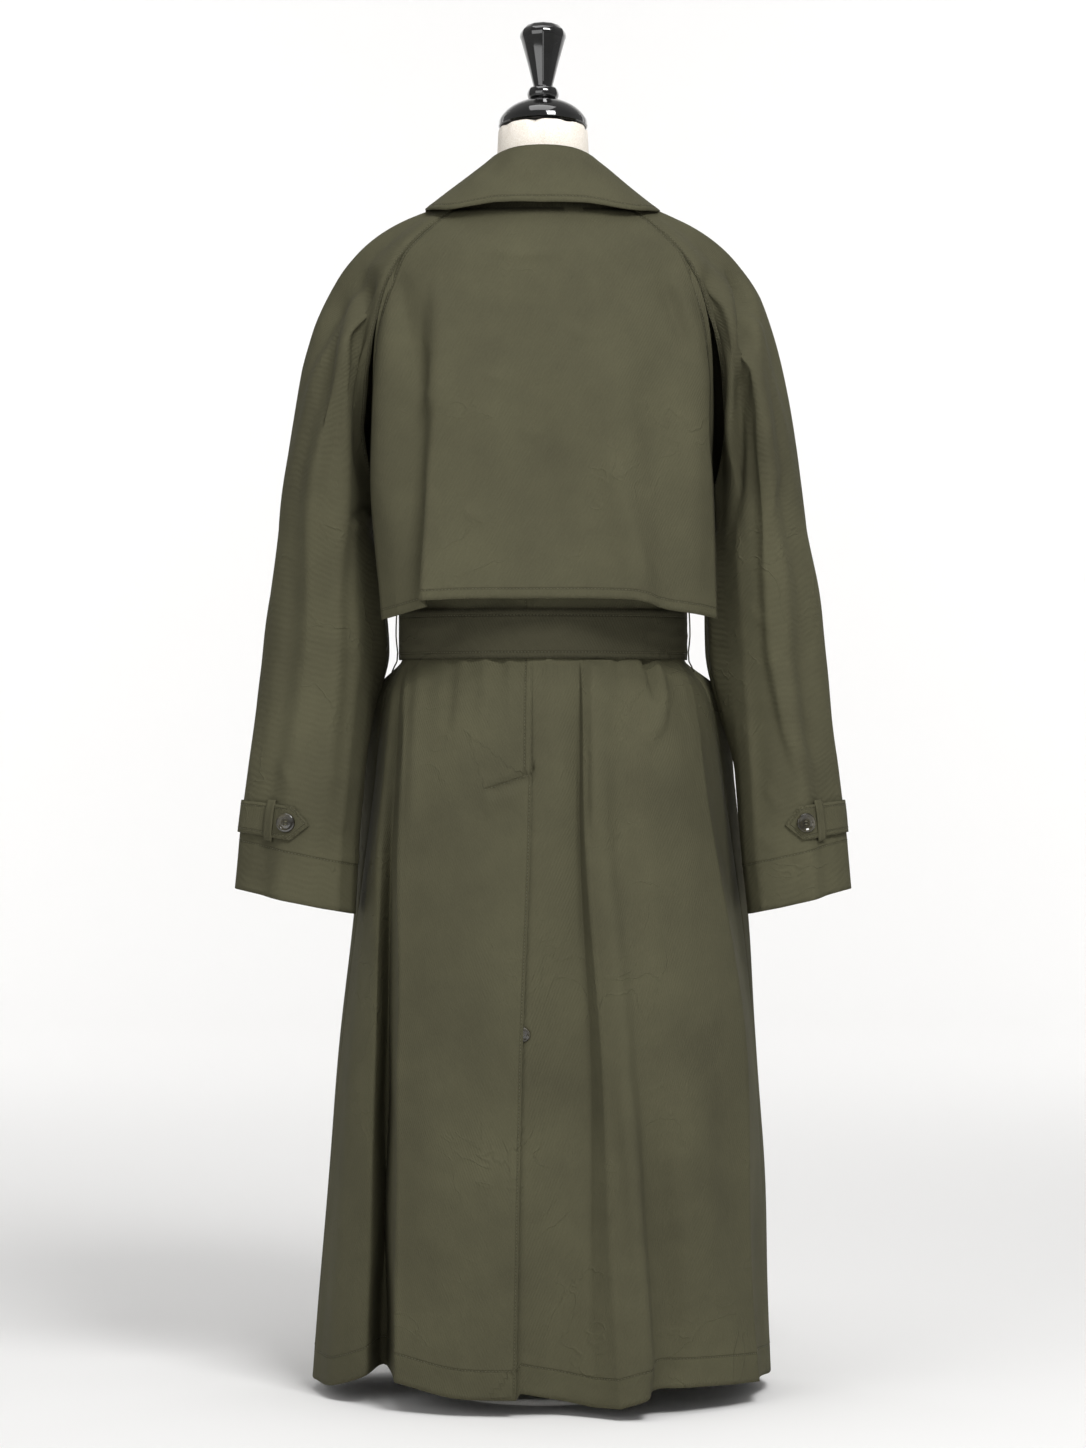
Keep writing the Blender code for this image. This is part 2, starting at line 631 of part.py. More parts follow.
def sheet(name, rows, away_from, finish=GABARDINE, thick=CLOTH, closed=False):
    """A wall of cloth: its outer face is the grid of points, and Solidify gives it its thickness."""
    mesh = bpy.data.meshes.new(name)
    bm = bmesh.new()
    grid = [[bm.verts.new(p * MM) for p in row] for row in rows]
    columns = len(rows[0])
    for upper, lower in zip(grid, grid[1:]):
        for k in range(columns if closed else columns - 1):
            m = (k + 1) % columns
            bm.faces.new((upper[k], lower[k], lower[m], upper[m]))
    bm.normal_update()
    centre = Vector((away_from[0] * MM, away_from[1] * MM, 0))
    outward = sum(
        f.normal.dot(Vector((f.calc_center_median().x - centre.x, f.calc_center_median().y - centre.y, 0)))
        * f.calc_area()
        for f in bm.faces
    )
    if outward < 0:
        bmesh.ops.reverse_faces(bm, faces=bm.faces[:])
    bm.to_mesh(mesh)
    bm.free()
    obj = add_mesh(name, mesh, finish)
    wall = obj.modifiers.new("wall", "SOLIDIFY")
    wall.thickness = thick * MM
    wall.offset = -1
    mesh.shade_smooth()
    return obj


def mirrored(rows):
    return [[Vector((-p.x, p.y, p.z)) for p in row] for row in rows]


def turned(name, profile, finish, place, axis=Vector((0, 0, 1)), steps=32, group=COAT):
    """A turned solid from a profile of (radius, height) pairs that runs top to bottom, laid on an axis."""
    mesh = bpy.data.meshes.new(name)
    bm = bmesh.new()
    verts = [bm.verts.new((r * MM, 0, z * MM)) for r, z in profile]
    for a, b in zip(verts, verts[1:]):
        bm.edges.new((a, b))
    bm.to_mesh(mesh)
    bm.free()
    obj = add_mesh(name, mesh, finish, group)
    screw = obj.modifiers.new("turn", "SCREW")
    screw.steps = steps
    screw.render_steps = steps
    screw.use_merge_vertices = True
    screw.merge_threshold = 0.00005
    obj.matrix_world = Matrix.Translation(place * MM) @ axis.to_track_quat("Z", "Y").to_matrix().to_4x4()
    return obj


# ---------------------------------------------------------------- panels


def make_backs():
    left = back_panel(BACK_LEFT_FOLDS, -1)
    right = underlap(back_panel(BACK_RIGHT_FOLDS, 1), left)
    # below the vent's top the left back lies over the underlap; above it the two meet at the centre seam
    sheet("back_right", pulled_in(right, last=WIDE_SEAM), (0, 0))
    sheet("back_left", pulled_in(left, last=WIDE_SEAM), (0, 0))
    return right, left


def make_fronts():
    right = front_panel(1, False)
    left = front_panel(-1, True)
    sheet("front_right", pulled_in(right, first=WIDE_SEAM), (0, 0))
    sheet("front_left", pulled_in(left, first=WIDE_SEAM), (0, 0))
    return right, left


def make_sleeves():
    for side, place, arm in ((1, "right", ARM_RIGHT_ROWS), (-1, "left", ARM_LEFT_ROWS)):
        back, front = sleeve_halves(arm)
        for rows, face in ((back, "back"), (front, "front")):
            shown = rows if side > 0 else mirrored(rows)
            shown = pulled_in(shown, 0.5, SEAM, WIDE_SEAM, WIDE_SEAM)
            sheet(f"sleeve_{place}_{face}", shown, (230 * side, 8))


def flap_rows():
    kinds = column(FLAP_FOLDS, FLAP_COLUMNS, "kind")
    steps = column(FLAP_FOLDS, FLAP_COLUMNS, "steps")
    named = [dict(zip(FLAP_COLUMNS, fold)) for fold in FLAP_FOLDS]
    rows = []
    for height in (*FLAP_HEIGHTS, 0):
        points = []
        for g in named:
            if height >= FLAP_SEWN:
                points.append(body_point(BACK_ROWS, height, g["share"]))
                continue
            sewn = body_point(BACK_ROWS, FLAP_SEWN, g["share"])
            keys = (FLAP_SEWN, FLAP_CHEST, FLAP_MID, 780)
            x = ease(keys, (sewn.x, g["chest_x"], g["mid_x"], g["hem_x"]), max(height, 780))
            y = ease(keys, (sewn.y - 4, g["chest_y"], g["mid_y"], g["hem_y"]), max(height, 780))
            points.append(Vector((x, y, height or g["hem_z"])))
        rows.append(across(points, kinds, steps))
    return rows


def make_flap():
    rows = flap_rows()
    lifted = moved_out(rows, CLOTH + LAYER, (0, 0))
    blended = []
    for height, row, high in zip((*FLAP_HEIGHTS, 0), rows, lifted):
        blended.append(high if height >= FLAP_SEWN else row)
    sheet("storm_flap", pulled_in(blended, first=1.5, last=1.5), (0, 0))


def collar_grid(inner, outer, swell, steps, stations=COLLAR_STATIONS):
    """Rows from one edge of the collar to the other, both sides of the neck, left front to right front."""
    kinds = ["soft"] * (2 * len(stations) - 1)
    counts = [2] * len(kinds)

    def whole(edge):
        half = [Vector([row[COLLAR_COLUMNS.index(f"{edge}_{axis}")] for axis in "xyz"]) for row in stations]
        return [Vector((-p.x, p.y, p.z)) for p in reversed(half[1:])] + half

    a = across(whole(inner), kinds, counts)
    b = across(whole(outer), kinds, counts)
    rows = []
    for k in range(steps + 1):
        t = k / steps
        bow = 4 * t * (1 - t) * swell
        row = []
        for p, q in zip(a, b):
            out = Vector((p.x, p.y, 0)).normalized()
            row.append(p.lerp(q, t) + (out * 0.5 + Vector((0, 0, 0.85))) * bow)
        rows.append(row)
    return rows


def make_collar():
    fall = collar_grid("fold", "edge", COLLAR_SWELL, 4)
    sheet("collar_fall", fall, (0, 0))
    stand = collar_grid("fold", "stand", 0, 2, COLLAR_STATIONS[:-1])
    inner = []
    for k, row in enumerate(stand):
        share = 1 - k / (len(stand) - 1)
        drop = Vector((0, 0, STAND_DROP * share))
        inner.append([p - Vector((p.x, p.y, 0)).normalized() * STAND_IN * share - drop for p in row])
    sheet("collar_stand", inner, (0, 0))



# ---------------------------------------------------------------- what lies on the panels


def make_lapels():
    heights = [h for h in FRONT_HEIGHTS if BREAK <= h <= 1125]
    for side, name in ((1, "lapel_right"), (-1, "lapel_left")):
        rows = []
        for height in heights:
            roll = lapel_line(height) + 0.01
            width = ease((BREAK, 975, 1030, 1085, 1128), (0.05, 0.26, 0.40, 0.43, 0.30), height)
            rows.append(
                [body_point(FRONT_ROWS, height, min(0.95, roll + width * k / 4) * side) for k in range(5)]
            )
        levels = [CLOTH + LAPEL_AIR - (under_depth(height) if side < 0 else 0) for height in heights]
        sheet(name, moved_out(rows, levels, (0, 0)), (0, 0))


def waist_ring(height, count):
    """Points right round the waist, from the middle of the front by way of +X."""
    points = []
    for k in range(count):
        turn = 4 * k / count
        if turn <= 1:
            points.append(body_point(FRONT_ROWS, height, turn))
        elif turn <= 3:
            points.append(body_point(BACK_ROWS, height, 2 - turn))
        else:
            points.append(body_point(FRONT_ROWS, height, turn - 4))
    return points


def belt_grid(first, last, low, high, steps, spread=0.0):
    """A strip round the waist between two places of the ring; low and high are its distances out."""
    rows = []
    ring = 240
    for share in (0.0, 0.5, 1.0):
        height = BELT_TOP + (BELT_BOTTOM - BELT_TOP) * share
        points = waist_ring(height, ring)
        row = []
        for k in range(steps + 1):
            t = k / steps
            place = (first + (last - first) * t) * ring
            a, b = int(math.floor(place)) % ring, (int(math.floor(place)) + 1) % ring
            here = points[a].lerp(points[b], place - math.floor(place))
            along = points[(b + 2) % ring] - points[(a - 2) % ring]
            out = Vector((along.y, -along.x, 0)).normalized()
            if out.x * here.x + out.y * here.y < 0:
                out = -out
            row.append(here + out * (low + (high - low) * t))
        rows.append(row)
    return rows


BELT_AIR = 0.6
BUCKLE_PLACE = 0.02
BELT_TIP = 0.115


def make_belt():
    """One strip: it starts at the buckle, goes once round and its end lies over its beginning."""
    base = BELT_CLOTH + BELT_AIR
    second = base + BUCKLE_BAR + BELT_CLOTH + 2 * BELT_AIR
    round_first = belt_grid(BUCKLE_PLACE, 0.93, base, base, 40)
    climb = belt_grid(0.93, 1.0 + BUCKLE_PLACE, base, second, 5)
    tail = belt_grid(1.0 + BUCKLE_PLACE, 1.0 + BELT_TIP, second, second - BUCKLE_BAR, 6)
    rows = [a + b[1:] + c[1:] for a, b, c in zip(round_first, climb, tail)]
    middle = (rows[0][-1] + rows[2][-1]) / 2
    rows[0][-1] = rows[0][-1].lerp(rows[0][-2], 0.75)
    rows[2][-1] = rows[2][-1].lerp(rows[2][-2], 0.75)
    rows[1][-1] = middle
    sheet("belt", rows, (0, 0), SHADED, BELT_CLOTH)


BUCKLE_BAR = 2.4


def make_buckle():
    """A slide with a bar down its middle, across the front of the belt."""
    ring = waist_ring(755, 240)
    here = ring[int(round(BUCKLE_PLACE * 240))]
    inner = BELT_CLOTH + 2 * BELT_AIR
    deep = inner + BUCKLE_BAR + BELT_CLOTH + 2 * BELT_AIR
    mesh = bpy.data.meshes.new("buckle")
    bm = bmesh.new()
    wide, tall, rim = 44, 60, 5.5
    half = (BELT_TOP - BELT_BOTTOM) / 2 + 1.5
    # plan of the slide: outline, two windows, extruded; the side bars sit high and the middle bar low
    xs = (-wide / 2, -wide / 2 + rim, -3, 3, wide / 2 - rim, wide / 2)
    zs = (-tall / 2, -half, half, tall / 2)
    levels = (inner, inner + BUCKLE_BAR, deep, deep + 3.0)

    def solid(i, j, k):
        if j in (0, 2):
            return True
        if i in (0, 4):
            return k == 2
        return i == 2 and k == 0

    def inside(i, j, k):
        return 0 <= i < 5 and 0 <= j < 3 and 0 <= k < 3 and solid(i, j, k)

    verts = {}

    def vert(i, j, k):
        if (i, j, k) not in verts:
            verts[i, j, k] = bm.verts.new((xs[i] * MM, levels[k] * MM, zs[j] * MM))
        return verts[i, j, k]

    for i in range(5):
        for j in range(3):
            for k in range(3):
                if not inside(i, j, k):
                    continue
                faces = (
                    ((-1, 0, 0), ((0, 0, 0), (0, 0, 1), (0, 1, 1), (0, 1, 0))),
                    ((1, 0, 0), ((1, 0, 0), (1, 1, 0), (1, 1, 1), (1, 0, 1))),
                    ((0, -1, 0), ((0, 0, 0), (1, 0, 0), (1, 0, 1), (0, 0, 1))),
                    ((0, 1, 0), ((0, 1, 0), (0, 1, 1), (1, 1, 1), (1, 1, 0))),
                    ((0, 0, -1), ((0, 0, 0), (0, 1, 0), (1, 1, 0), (1, 0, 0))),
                    ((0, 0, 1), ((0, 0, 1), (1, 0, 1), (1, 1, 1), (0, 1, 1))),
                )
                for (di, dj, dk), corners in faces:
                    if inside(i + di, j + dj, k + dk):
                        continue
                    bm.faces.new([vert(i + a, j + b, k + c) for a, b, c in corners])
    bmesh.ops.recalc_face_normals(bm, faces=bm.faces[:])
    bm.to_mesh(mesh)
    bm.free()
    obj = add_mesh("buckle", mesh, HORN_FINISH)
    turn = math.atan2(-here.x, here.y)
    obj.matrix_world = Matrix.Translation(here * MM) @ Matrix.Rotation(turn, 4, "Z")


def thread_loop(name, side):
    """A thread chain that holds the belt at the side seam."""
    curve = bpy.data.curves.new(name, "CURVE")
    curve.dimensions = "3D"
    curve.bevel_depth = 0.8 * MM
    curve.bevel_resolution = 1
    curve.resolution_u = 3
    curve.use_fill_caps = True
    out = BELT_CLOTH + BELT_AIR + 1.6
    seat = 3.0
    path = (
        (seat, BELT_TOP + 16), (seat + 0.6, BELT_TOP + 9), (out, BELT_TOP + 2), (out + 1, 755),
        (out, BELT_BOTTOM - 1), (seat + 4.2, BELT_BOTTOM - 6), (seat + 6.8, BELT_BOTTOM - 12),
    )
    line = curve.splines.new("BEZIER")
    line.bezier_points.add(len(path) - 1)
    for point, (away, height) in zip(line.bezier_points, path):
        here = body_point(BACK_ROWS, max(height, BELT_BOTTOM), side)
        here = here + Vector((side * away, -5, 0))
        here.z = height
        point.co = here * MM
        point.handle_left_type = point.handle_right_type = "AUTO"
    obj = bpy.data.objects.new(name, curve)
    curve.materials.append(SHADED)
    COAT.objects.link(obj)


def wrist_grid(arm, low, high, first, last, steps, out, side, rise=3):
    rows = []
    for k in range(rise):
        height = high + (low - high) * k / (rise - 1)
        row = []
        for j in range(steps + 1):
            turn = first + (last - first) * j / steps
            here, away = sleeve_surface(arm, height, turn)
            row.append(here + away * out)
        rows.append(row)
    return rows if side > 0 else mirrored(rows)


def make_cuffs():
    low, high = STRAP_HEIGHT - STRAP_WIDTH / 2, STRAP_HEIGHT + STRAP_WIDTH / 2
    out = CLOTH + LAYER + 0.3
    for side, place, arm in ((1, "right", ARM_RIGHT_ROWS), (-1, "left", ARM_LEFT_ROWS)):
        rows = wrist_grid(arm, low, high, STRAP_END_TURN, STRAP_TIP_TURN, 26, out, side)
        for row in (rows[0], rows[-1]):
            row[-1] = row[-1].lerp(row[-2], 0.95)
        sheet(f"cuff_strap_{place}", rows, (230 * side, 12))
        turn = STRAP_KEEPER_TURN
        keeper = wrist_grid(arm, low - 4, high + 4, turn - 5, turn + 5, 2, out + CLOTH + LAYER, side)
        sheet(f"strap_keeper_{place}", keeper, (230 * side, 12), SHADED)
        here, away = sleeve_surface(arm, STRAP_HEIGHT, STRAP_BUTTON_TURN)
        here = here + away * (out + 0.8)
        if side < 0:
            here.x, away.x = -here.x, -away.x
        button(f"cuff_button_{place}", here, away, CUFF_BUTTON_RADIUS)


def button(name, place, axis, radius):
    thick = BUTTON_THICK * radius / BUTTON_RADIUS
    profile = (
        (0, thick * 0.62), (radius * 0.62, thick * 0.62), (radius * 0.74, thick), (radius * 0.90, thick),
        (radius, thick * 0.6), (radius * 0.94, thick * 0.2), (radius * 0.7, 0), (0, 0),
    )
    turned(name, profile, HORN_FINISH, place, axis, 16)


def make_front_buttons():
    count = 0
    for height in BUTTON_HEIGHTS:
        place = FRONT_HEIGHTS.index(height)
        row, upper = right_front[place], right_front[place - 1]
        for x in BUTTON_COLUMNS:
            k = next(i for i in range(len(row) - 1) if (row[i].x - x) * (row[i + 1].x - x) <= 0)
            share = (x - row[k].x) / (row[k + 1].x - row[k].x)
            here = row[k].lerp(row[k + 1], share)
            away = (row[k + 1] - row[k]).cross(upper[k].lerp(upper[k + 1], share) - here).normalized()
            if away.y < 0:
                away = -away
            count += 1
            button(f"front_button_{count}", here + away * 0.85, away, BUTTON_RADIUS)


def make_vent_button():
    above, below = (BODY_HEIGHTS.index(h) for h in (430, KNEE))
    share = (430 - VENT_BUTTON_HEIGHT) / (430 - KNEE)
    here = right_back[above][2].lerp(right_back[below][2], share)
    button("vent_button", here + Vector((0, -0.5, 0)), Vector((0, -1, 0)), 7)


VENT_BUTTON_HEIGHT = 358


def on_panel(rows, heights, height, place):
    """A point of a panel between its rows and columns; place counts columns from the first one."""
    lower = next(i for i, level in enumerate(heights) if level <= height)
    share = (heights[lower - 1] - height) / (heights[lower - 1] - heights[lower])
    k = int(place)
    upper_point = rows[lower - 1][k].lerp(rows[lower - 1][k + 1], place - k)
    return upper_point.lerp(rows[lower][k].lerp(rows[lower][k + 1], place - k), share)


def make_pockets():
    for rows, name in ((right_front, "pocket_welt_right"), (left_front, "pocket_welt_left")):
        heights = (POCKET_TOP, BLOOM, 672, 650, 623, POCKET_BOTTOM)
        made = []
        for k, height in enumerate(heights):
            middle = POCKET_PLACE - POCKET_SLANT * k / (len(heights) - 1)
            made.append([on_panel(rows, FRONT_HEIGHTS, height, middle + j) for j in POCKET_WIDTHS])
        sheet(name, moved_out(made, CLOTH + POCKET_AIR, (0, 0)), (0, 0))


# ---------------------------------------------------------------- dress form


def make_form():
    mesh = bpy.data.meshes.new("form_body")
    bm = bmesh.new()
    around = 32
    rings = []
    for row in FORM_ROWS:
        height, half, back, front = (row[FORM_COLUMNS.index(name)] for name in FORM_COLUMNS)
        tilt = math.tan(CAP_TILT) * min(1.0, max(0.0, (height - 1206) / (FORM_ROWS[0][0] - 1206)))
        ring = []
        for k in range(around):
            turn = 2 * math.pi * k / around
            x, y = math.sin(turn), math.cos(turn)
            flat = ease((1262, 1206, 1142, 1000, 544), (2.0, 2.0, 2.5, 2.4, 2.3), height)
            x = math.copysign(abs(x) ** (2 / flat), x)
            y = math.copysign(abs(y) ** (2 / flat), y)
            at_y = y * (front if y > 0 else -back)
            ring.append(bm.verts.new((x * half * MM, at_y * MM, (height - at_y * tilt) * MM)))
        rings.append(ring)
    for upper, lower in zip(rings, rings[1:]):
        for k in range(around):
            m = (k + 1) % around
            bm.faces.new((upper[k], lower[k], lower[m], upper[m]))
    bm.faces.new(rings[0])
    bm.faces.new(list(reversed(rings[-1])))
    bmesh.ops.recalc_face_normals(bm, faces=bm.faces[:])
    bm.to_mesh(mesh)
    bm.free()
    add_mesh("form_body", mesh, LINEN_FINISH, FORM).data.shade_smooth()

    lean = Vector((0, math.sin(CAP_TILT), math.cos(CAP_TILT)))
    seat = Vector((0, -1, CAP_HEIGHT))
    turned(
        "neck_cap",
        ((0, 27), (14, 27), (24, 24.5), (34, 19), (41, 12), (44.5, 5), (44.5, 1), (43.5, 0), (0, 0)),
        LACQUER_FINISH, seat, lean, 32, FORM,
    )
    turned(
        "finial",
        (
            (0, 107.5), (9, 106.8), (17, 104), (22, 99), (23.3, 94.5), (22, 90), (15.5, 66), (11, 48),
            (9.7, 41.2), (13, 40.6), (15.5, 37), (15.5, 32), (13, 28.2), (0, 27.6),
        ),
        LACQUER_FINISH, seat, lean, 12, FORM,
    )
    turned(
        "pole", ((0, 543.5), (POLE_RADIUS, 543.5), (POLE_RADIUS, FOOT_THICK + 0.3), (0, FOOT_THICK + 0.3)),
        STEEL_FINISH, Vector((0, 0, 0)), steps=24, group=FORM,
    )
    turned(
        "foot",
        (
            (0, FOOT_THICK), (FOOT_RADIUS - 2, FOOT_THICK), (FOOT_RADIUS, FOOT_THICK - 2),
            (FOOT_RADIUS, 0), (0, 0),
        ),
        PAINT_FINISH, Vector((0, 0, 0)), steps=32, group=FORM,
    )


right_back, left_back = make_backs()
right_front, left_front = make_fronts()
make_sleeves()
make_flap()
make_collar()
make_lapels()
make_belt()
make_buckle()
thread_loop("belt_loop_right", 1)
thread_loop("belt_loop_left", -1)
make_cuffs()
make_front_buttons()
make_vent_button()
make_pockets()
make_form()
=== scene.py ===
"""A belted olive trench coat on a limbless dress form, in finished cloth, thread, horn and lacquer."""

import math
import random

import bpy
import numpy as np
from mathutils import Matrix, Vector


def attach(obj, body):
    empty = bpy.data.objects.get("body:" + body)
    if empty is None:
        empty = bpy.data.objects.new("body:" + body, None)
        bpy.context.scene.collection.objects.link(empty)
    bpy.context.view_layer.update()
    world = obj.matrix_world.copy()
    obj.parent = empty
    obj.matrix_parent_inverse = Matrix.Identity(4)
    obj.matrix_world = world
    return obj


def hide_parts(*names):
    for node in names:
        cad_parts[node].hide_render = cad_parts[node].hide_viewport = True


bl_info = {
    "name": "Trench coat on a dress form",
    "version": (1, 0, 0),
    "blender": (4, 5, 0),
    "location": "View3D > Sidebar > Trench coat",
    "description": "Dresses the packed coat in gabardine, stitching, buttons and studio light",
    "category": "Object",
}

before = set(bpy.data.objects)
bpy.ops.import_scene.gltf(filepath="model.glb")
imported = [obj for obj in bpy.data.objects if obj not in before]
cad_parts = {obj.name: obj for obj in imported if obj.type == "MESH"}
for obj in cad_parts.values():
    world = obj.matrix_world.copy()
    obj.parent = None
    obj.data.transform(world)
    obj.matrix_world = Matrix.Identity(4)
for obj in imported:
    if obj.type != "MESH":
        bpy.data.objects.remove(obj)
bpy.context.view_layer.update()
MM = 0.001

# ---------------------------------------------------------------- the coat's own sizes, in millimetres

# Cloth and seams
CLOTH = 1.5  # gabardine with its facing
BELT_CLOTH = 2.6  # two layers and an interlining
LAYER = 0.5  # air between two layers that lie on each other

# Heights of the coat
NECKLINE = 1190
ARMPIT = 905
BELT_TOP = 779
BELT_BOTTOM = 731
BLOOM = 695  # where the gathers under the belt have opened
HIP = 600
KNEE = 330
VENT_TOP = 621
VENT_SLANT = 603  # lower end of the slanted stitching at the vent
VENT_AIR = 3.4  # air behind the vent edge, where the button sits
UNDERLAP = 47  # how far the right back reaches under the left one
BREAK = 930  # where the lapels start to roll
OVERLAP_END = 890  # below this height the fronts keep their full width
PARTING = (1010, 1080)  # between these heights the two fronts part

# Rows of the back: the raglan seam down to the armpit, then the side seam.
# turn is how far the row bends round.
BACK_COLUMNS = ("height", "edge_x", "edge_y", "centre_y", "turn")
BACK_ROWS = (
    (1190, 62, -50, -66, 60),
    (1172, 88, -66, -84, 58),
    (1150, 115, -78, -99, 56),
    (1125, 138, -86, -110, 56),
    (1095, 154, -88, -117, 58),
    (1060, 163, -84, -121, 62),
    (1015, 168, -66, -123, 70),
    (960, 170, -40, -123, 80),
    (905, 168, -8, -121, 88),
    (850, 157, 0, -119, 90),
    (779, 141, 0, -119, 90),
    (731, 141, 0, -120, 90),
)
FRONT_ROWS = (
    (1190, 68, 22, 40, 60),
    (1165, 90, 34, 64, 60),
    (1140, 113, 50, 86, 60),
    (1110, 134, 62, 105, 60),
    (1075, 150, 66, 121, 62),
    (1030, 160, 58, 132, 68),
    (975, 167, 34, 137, 78),
    (905, 168, -8, 136, 88),
    (850, 157, 0, 128, 90),
    (779, 141, 0, 118, 90),
    (731, 141, 0, 118, 90),
)

# Fold lines of the skirt. share is the place along the row from the middle (0) to the side seam (1).
# bloom is how much of the flare from belt to hip is reached just below the belt.
SKIRT_COLUMNS = (
    "name", "kind", "share", "bloom", "hip_x", "hip_y", "knee_x", "knee_y",
    "hem_x", "hem_y", "hem_z", "steps",
)
BACK_RIGHT_FOLDS = (
    ("centre_seam", "soft", -0.045, 0.55, -11, -147.6, -20, -160, -26, -164, 24, 2),
    ("vent_trough", "soft", 0.07, 0.55, 14, -149, 15, -152, 14, -158, 16, 2),
    ("pleat_foot", "crease", 0.16, 0.55, 36, -141, 44, -150, 48, -172, 11, 1),
    ("pleat_edge", "crease", 0.165, 0.55, 40, -156, 56, -170, 74, -190, 12, 2),
    ("pleat_face", "soft", 0.28, 0.55, 58, -156, 80, -174, 99, -188, 20, 1),
    ("pleat_return", "soft", 0.34, 0.55, 72, -151, 90, -160, 104, -164, 26, 2),
    ("hip_tuck", "soft", 0.50, 0.55, 104, -143, 128, -148, 146, -146, 26, 2),
    ("side_crease", "crease", 0.79, 0.50, 162, -92, 197, -94, 213, -80, 22, 1),
    ("side_shade", "soft", 0.85, 0.52, 167, -64, 202, -62, 216, -48, 21, 1),
    ("side_seam", "soft", 1.0, 0.60, 182, 2, 213, 2, 228, 6, 18, 1),
)
BACK_LEFT_FOLDS = (
    ("vent_edge", "soft", 0.045, 0.55, 11, -150.5, 20, -163.5, 26, -169, 17, 3),
    ("flat_panel", "soft", 0.40, 0.55, 80, -148, 83, -158, 85, -164, 18, 3),
    ("panel_crease", "crease", 0.78, 0.55, 141, -122, 142, -132, 145, -138, 30, 1),
    ("deep_fold", "crease", 0.80, 0.55, 147, -76, 153, -54, 158, -36, 32, 1),
    ("lobe_edge", "soft", 0.86, 0.55, 155, -74, 164, -84, 173, -90, 29, 2),
    ("lobe_face", "soft", 0.93, 0.55, 163, -40, 187, -58, 205, -64, 16, 2),
    ("side_seam", "soft", 1.0, 0.60, 170, 2, 203, 2, 231, 6, 12, 1),
)
FRONT_FOLDS = (
    ("side_seam", "soft", 1.0, 0.60, 170, 2, 203, 2, 229, 6, 15, 1),
    ("side_swell", "soft", 0.90, 0.78, 0, 40, 0, 38, 0, 46, 16, 1),
    ("pocket_swell", "soft", 0.78, 0.65, 156, 76, 184, 94, 204, 104, 16, 2),
    ("front_trough", "soft", 0.58, 0.55, 116, 112, 136, 124, 150, 128, 20, 2),
    ("front_swell", "soft", 0.30, 0.55, 60, 140, 72, 162, 84, 178, 14, 2),
    ("centre_front", "soft", 0.0, 0.55, 0, 144, 0, 160, 0, 170, 16, 2),
    ("front_swell_2", "soft", -0.30, 0.55, -60, 140, -72, 162, -84, 178, 14, 2),
    ("overlap_edge", "soft", -0.58, 0.55, -116, 112, -136, 124, -150, 128, 20, 1),
)
SIDE_SWELL = (11, 3, 0)  # how far the swell in front of the side seam stands out, at hip, knee and hem
OVERLAP_SHARE = -0.58
LAPEL_AIR = 2.1
UNDER_DEPTH = 7.6  # how far the left front lies below the right one, with its lapel between them

# Rows of the arm below the armpit, the sleeve's middle and its half width and half depth
ARM_COLUMNS = ("height", "centre_x", "centre_y", "half_x", "half_y", "slant", "reach")
ARM_LEFT_ROWS = (
    (860, 219, 2, 44, 66, 0, 7),
    (800, 222, 2, 50, 64, 0, 19),
    (740, 224, 2, 55, 62, 0, 21),
    (680, 229, -8, 57, 58, 0, 6),
    (620, 234.7, -20, 58.5, 55, 3, 0),
    (560, 240.5, -30, 59.2, 52, 8, 0),
    (492, 245, -38, 60, 50, 13, 0),
)
ARM_RIGHT_ROWS = (
    (860, 220, 2, 43, 66, 0, 8),
    (800, 227, 2, 45, 64, 0, 28),
    (740, 232, 2, 47, 62, 0, 30),
    (680, 237, -8, 49, 58, 0, 17),
    (620, 242.2, -20, 51.8, 55, 3, 0),
    (560, 247.4, -30, 52.4, 52, 8, 0),
    (492, 253.7, -38, 51.4, 50, 13, 0),
)
REACH_TURN = -165  # where the inside of the sleeve reaches furthest towards the body
REACH_SPREAD = 50  # degrees to either side that this reach fades over
# Fold lines of the sleeve. lead and ease bend the line over the shoulder.
# upper, middle and lower let it swell (+) or sink (-) on the way down.
SLEEVE_COLUMNS = (
    "name", "kind", "turn", "start_x", "start_y", "start_z", "lead_x", "lead_y", "lead_z",
    "ease_x", "ease_y", "ease_z", "upper", "middle", "lower", "steps",
)
SLEEVE_BACK_FOLDS = (
    ("overarm", "soft", 0, 80, -14, 1183, 140, 8, -22, -20, 4, 210, 0, 0, 0, 2),
    ("neck_end", "soft", 18, 62, -50, 1190, 102, -6, -26, -17, -6, 196, 0, 1, 1, 1),
    ("outer_1", "soft", 36, 88, -66, 1172, 78, -6, -24, -12, -8, 184, 0, -2, -1, 1),
    ("outer_2", "soft", 56, 115, -78, 1150, 56, -6, -22, -9, -9, 166, -6, -4, -3, 1),
    ("ridge", "soft", 78, 138, -86, 1125, 36, -5, -24, -8, -10, 140, 8, 6, 5, 2),
    ("back_1", "soft", 96, 154, -88, 1095, 24, -3, -26, -7, -8, 112, -7, 2, 2, 1),
    ("back_2", "soft", 114, 163, -84, 1060, 14, 0, -24, -4, -8, 88, -8, 2, 3, 1),
    ("inner_crease", "crease", 132, 168, -66, 1015, 8, 0, -24, -2, -6, 64, 0, 5, 6, 1),
    ("inner_1", "crease", 154, 170, -40, 960, 4, 0, -20, 0, -2, 40, 0, 2, 2, 1),
    ("underarm", "soft", 180, 168, -8, 905, 2, 2, -12, -1, -2, 14, 0, 0, 0, 1),
)
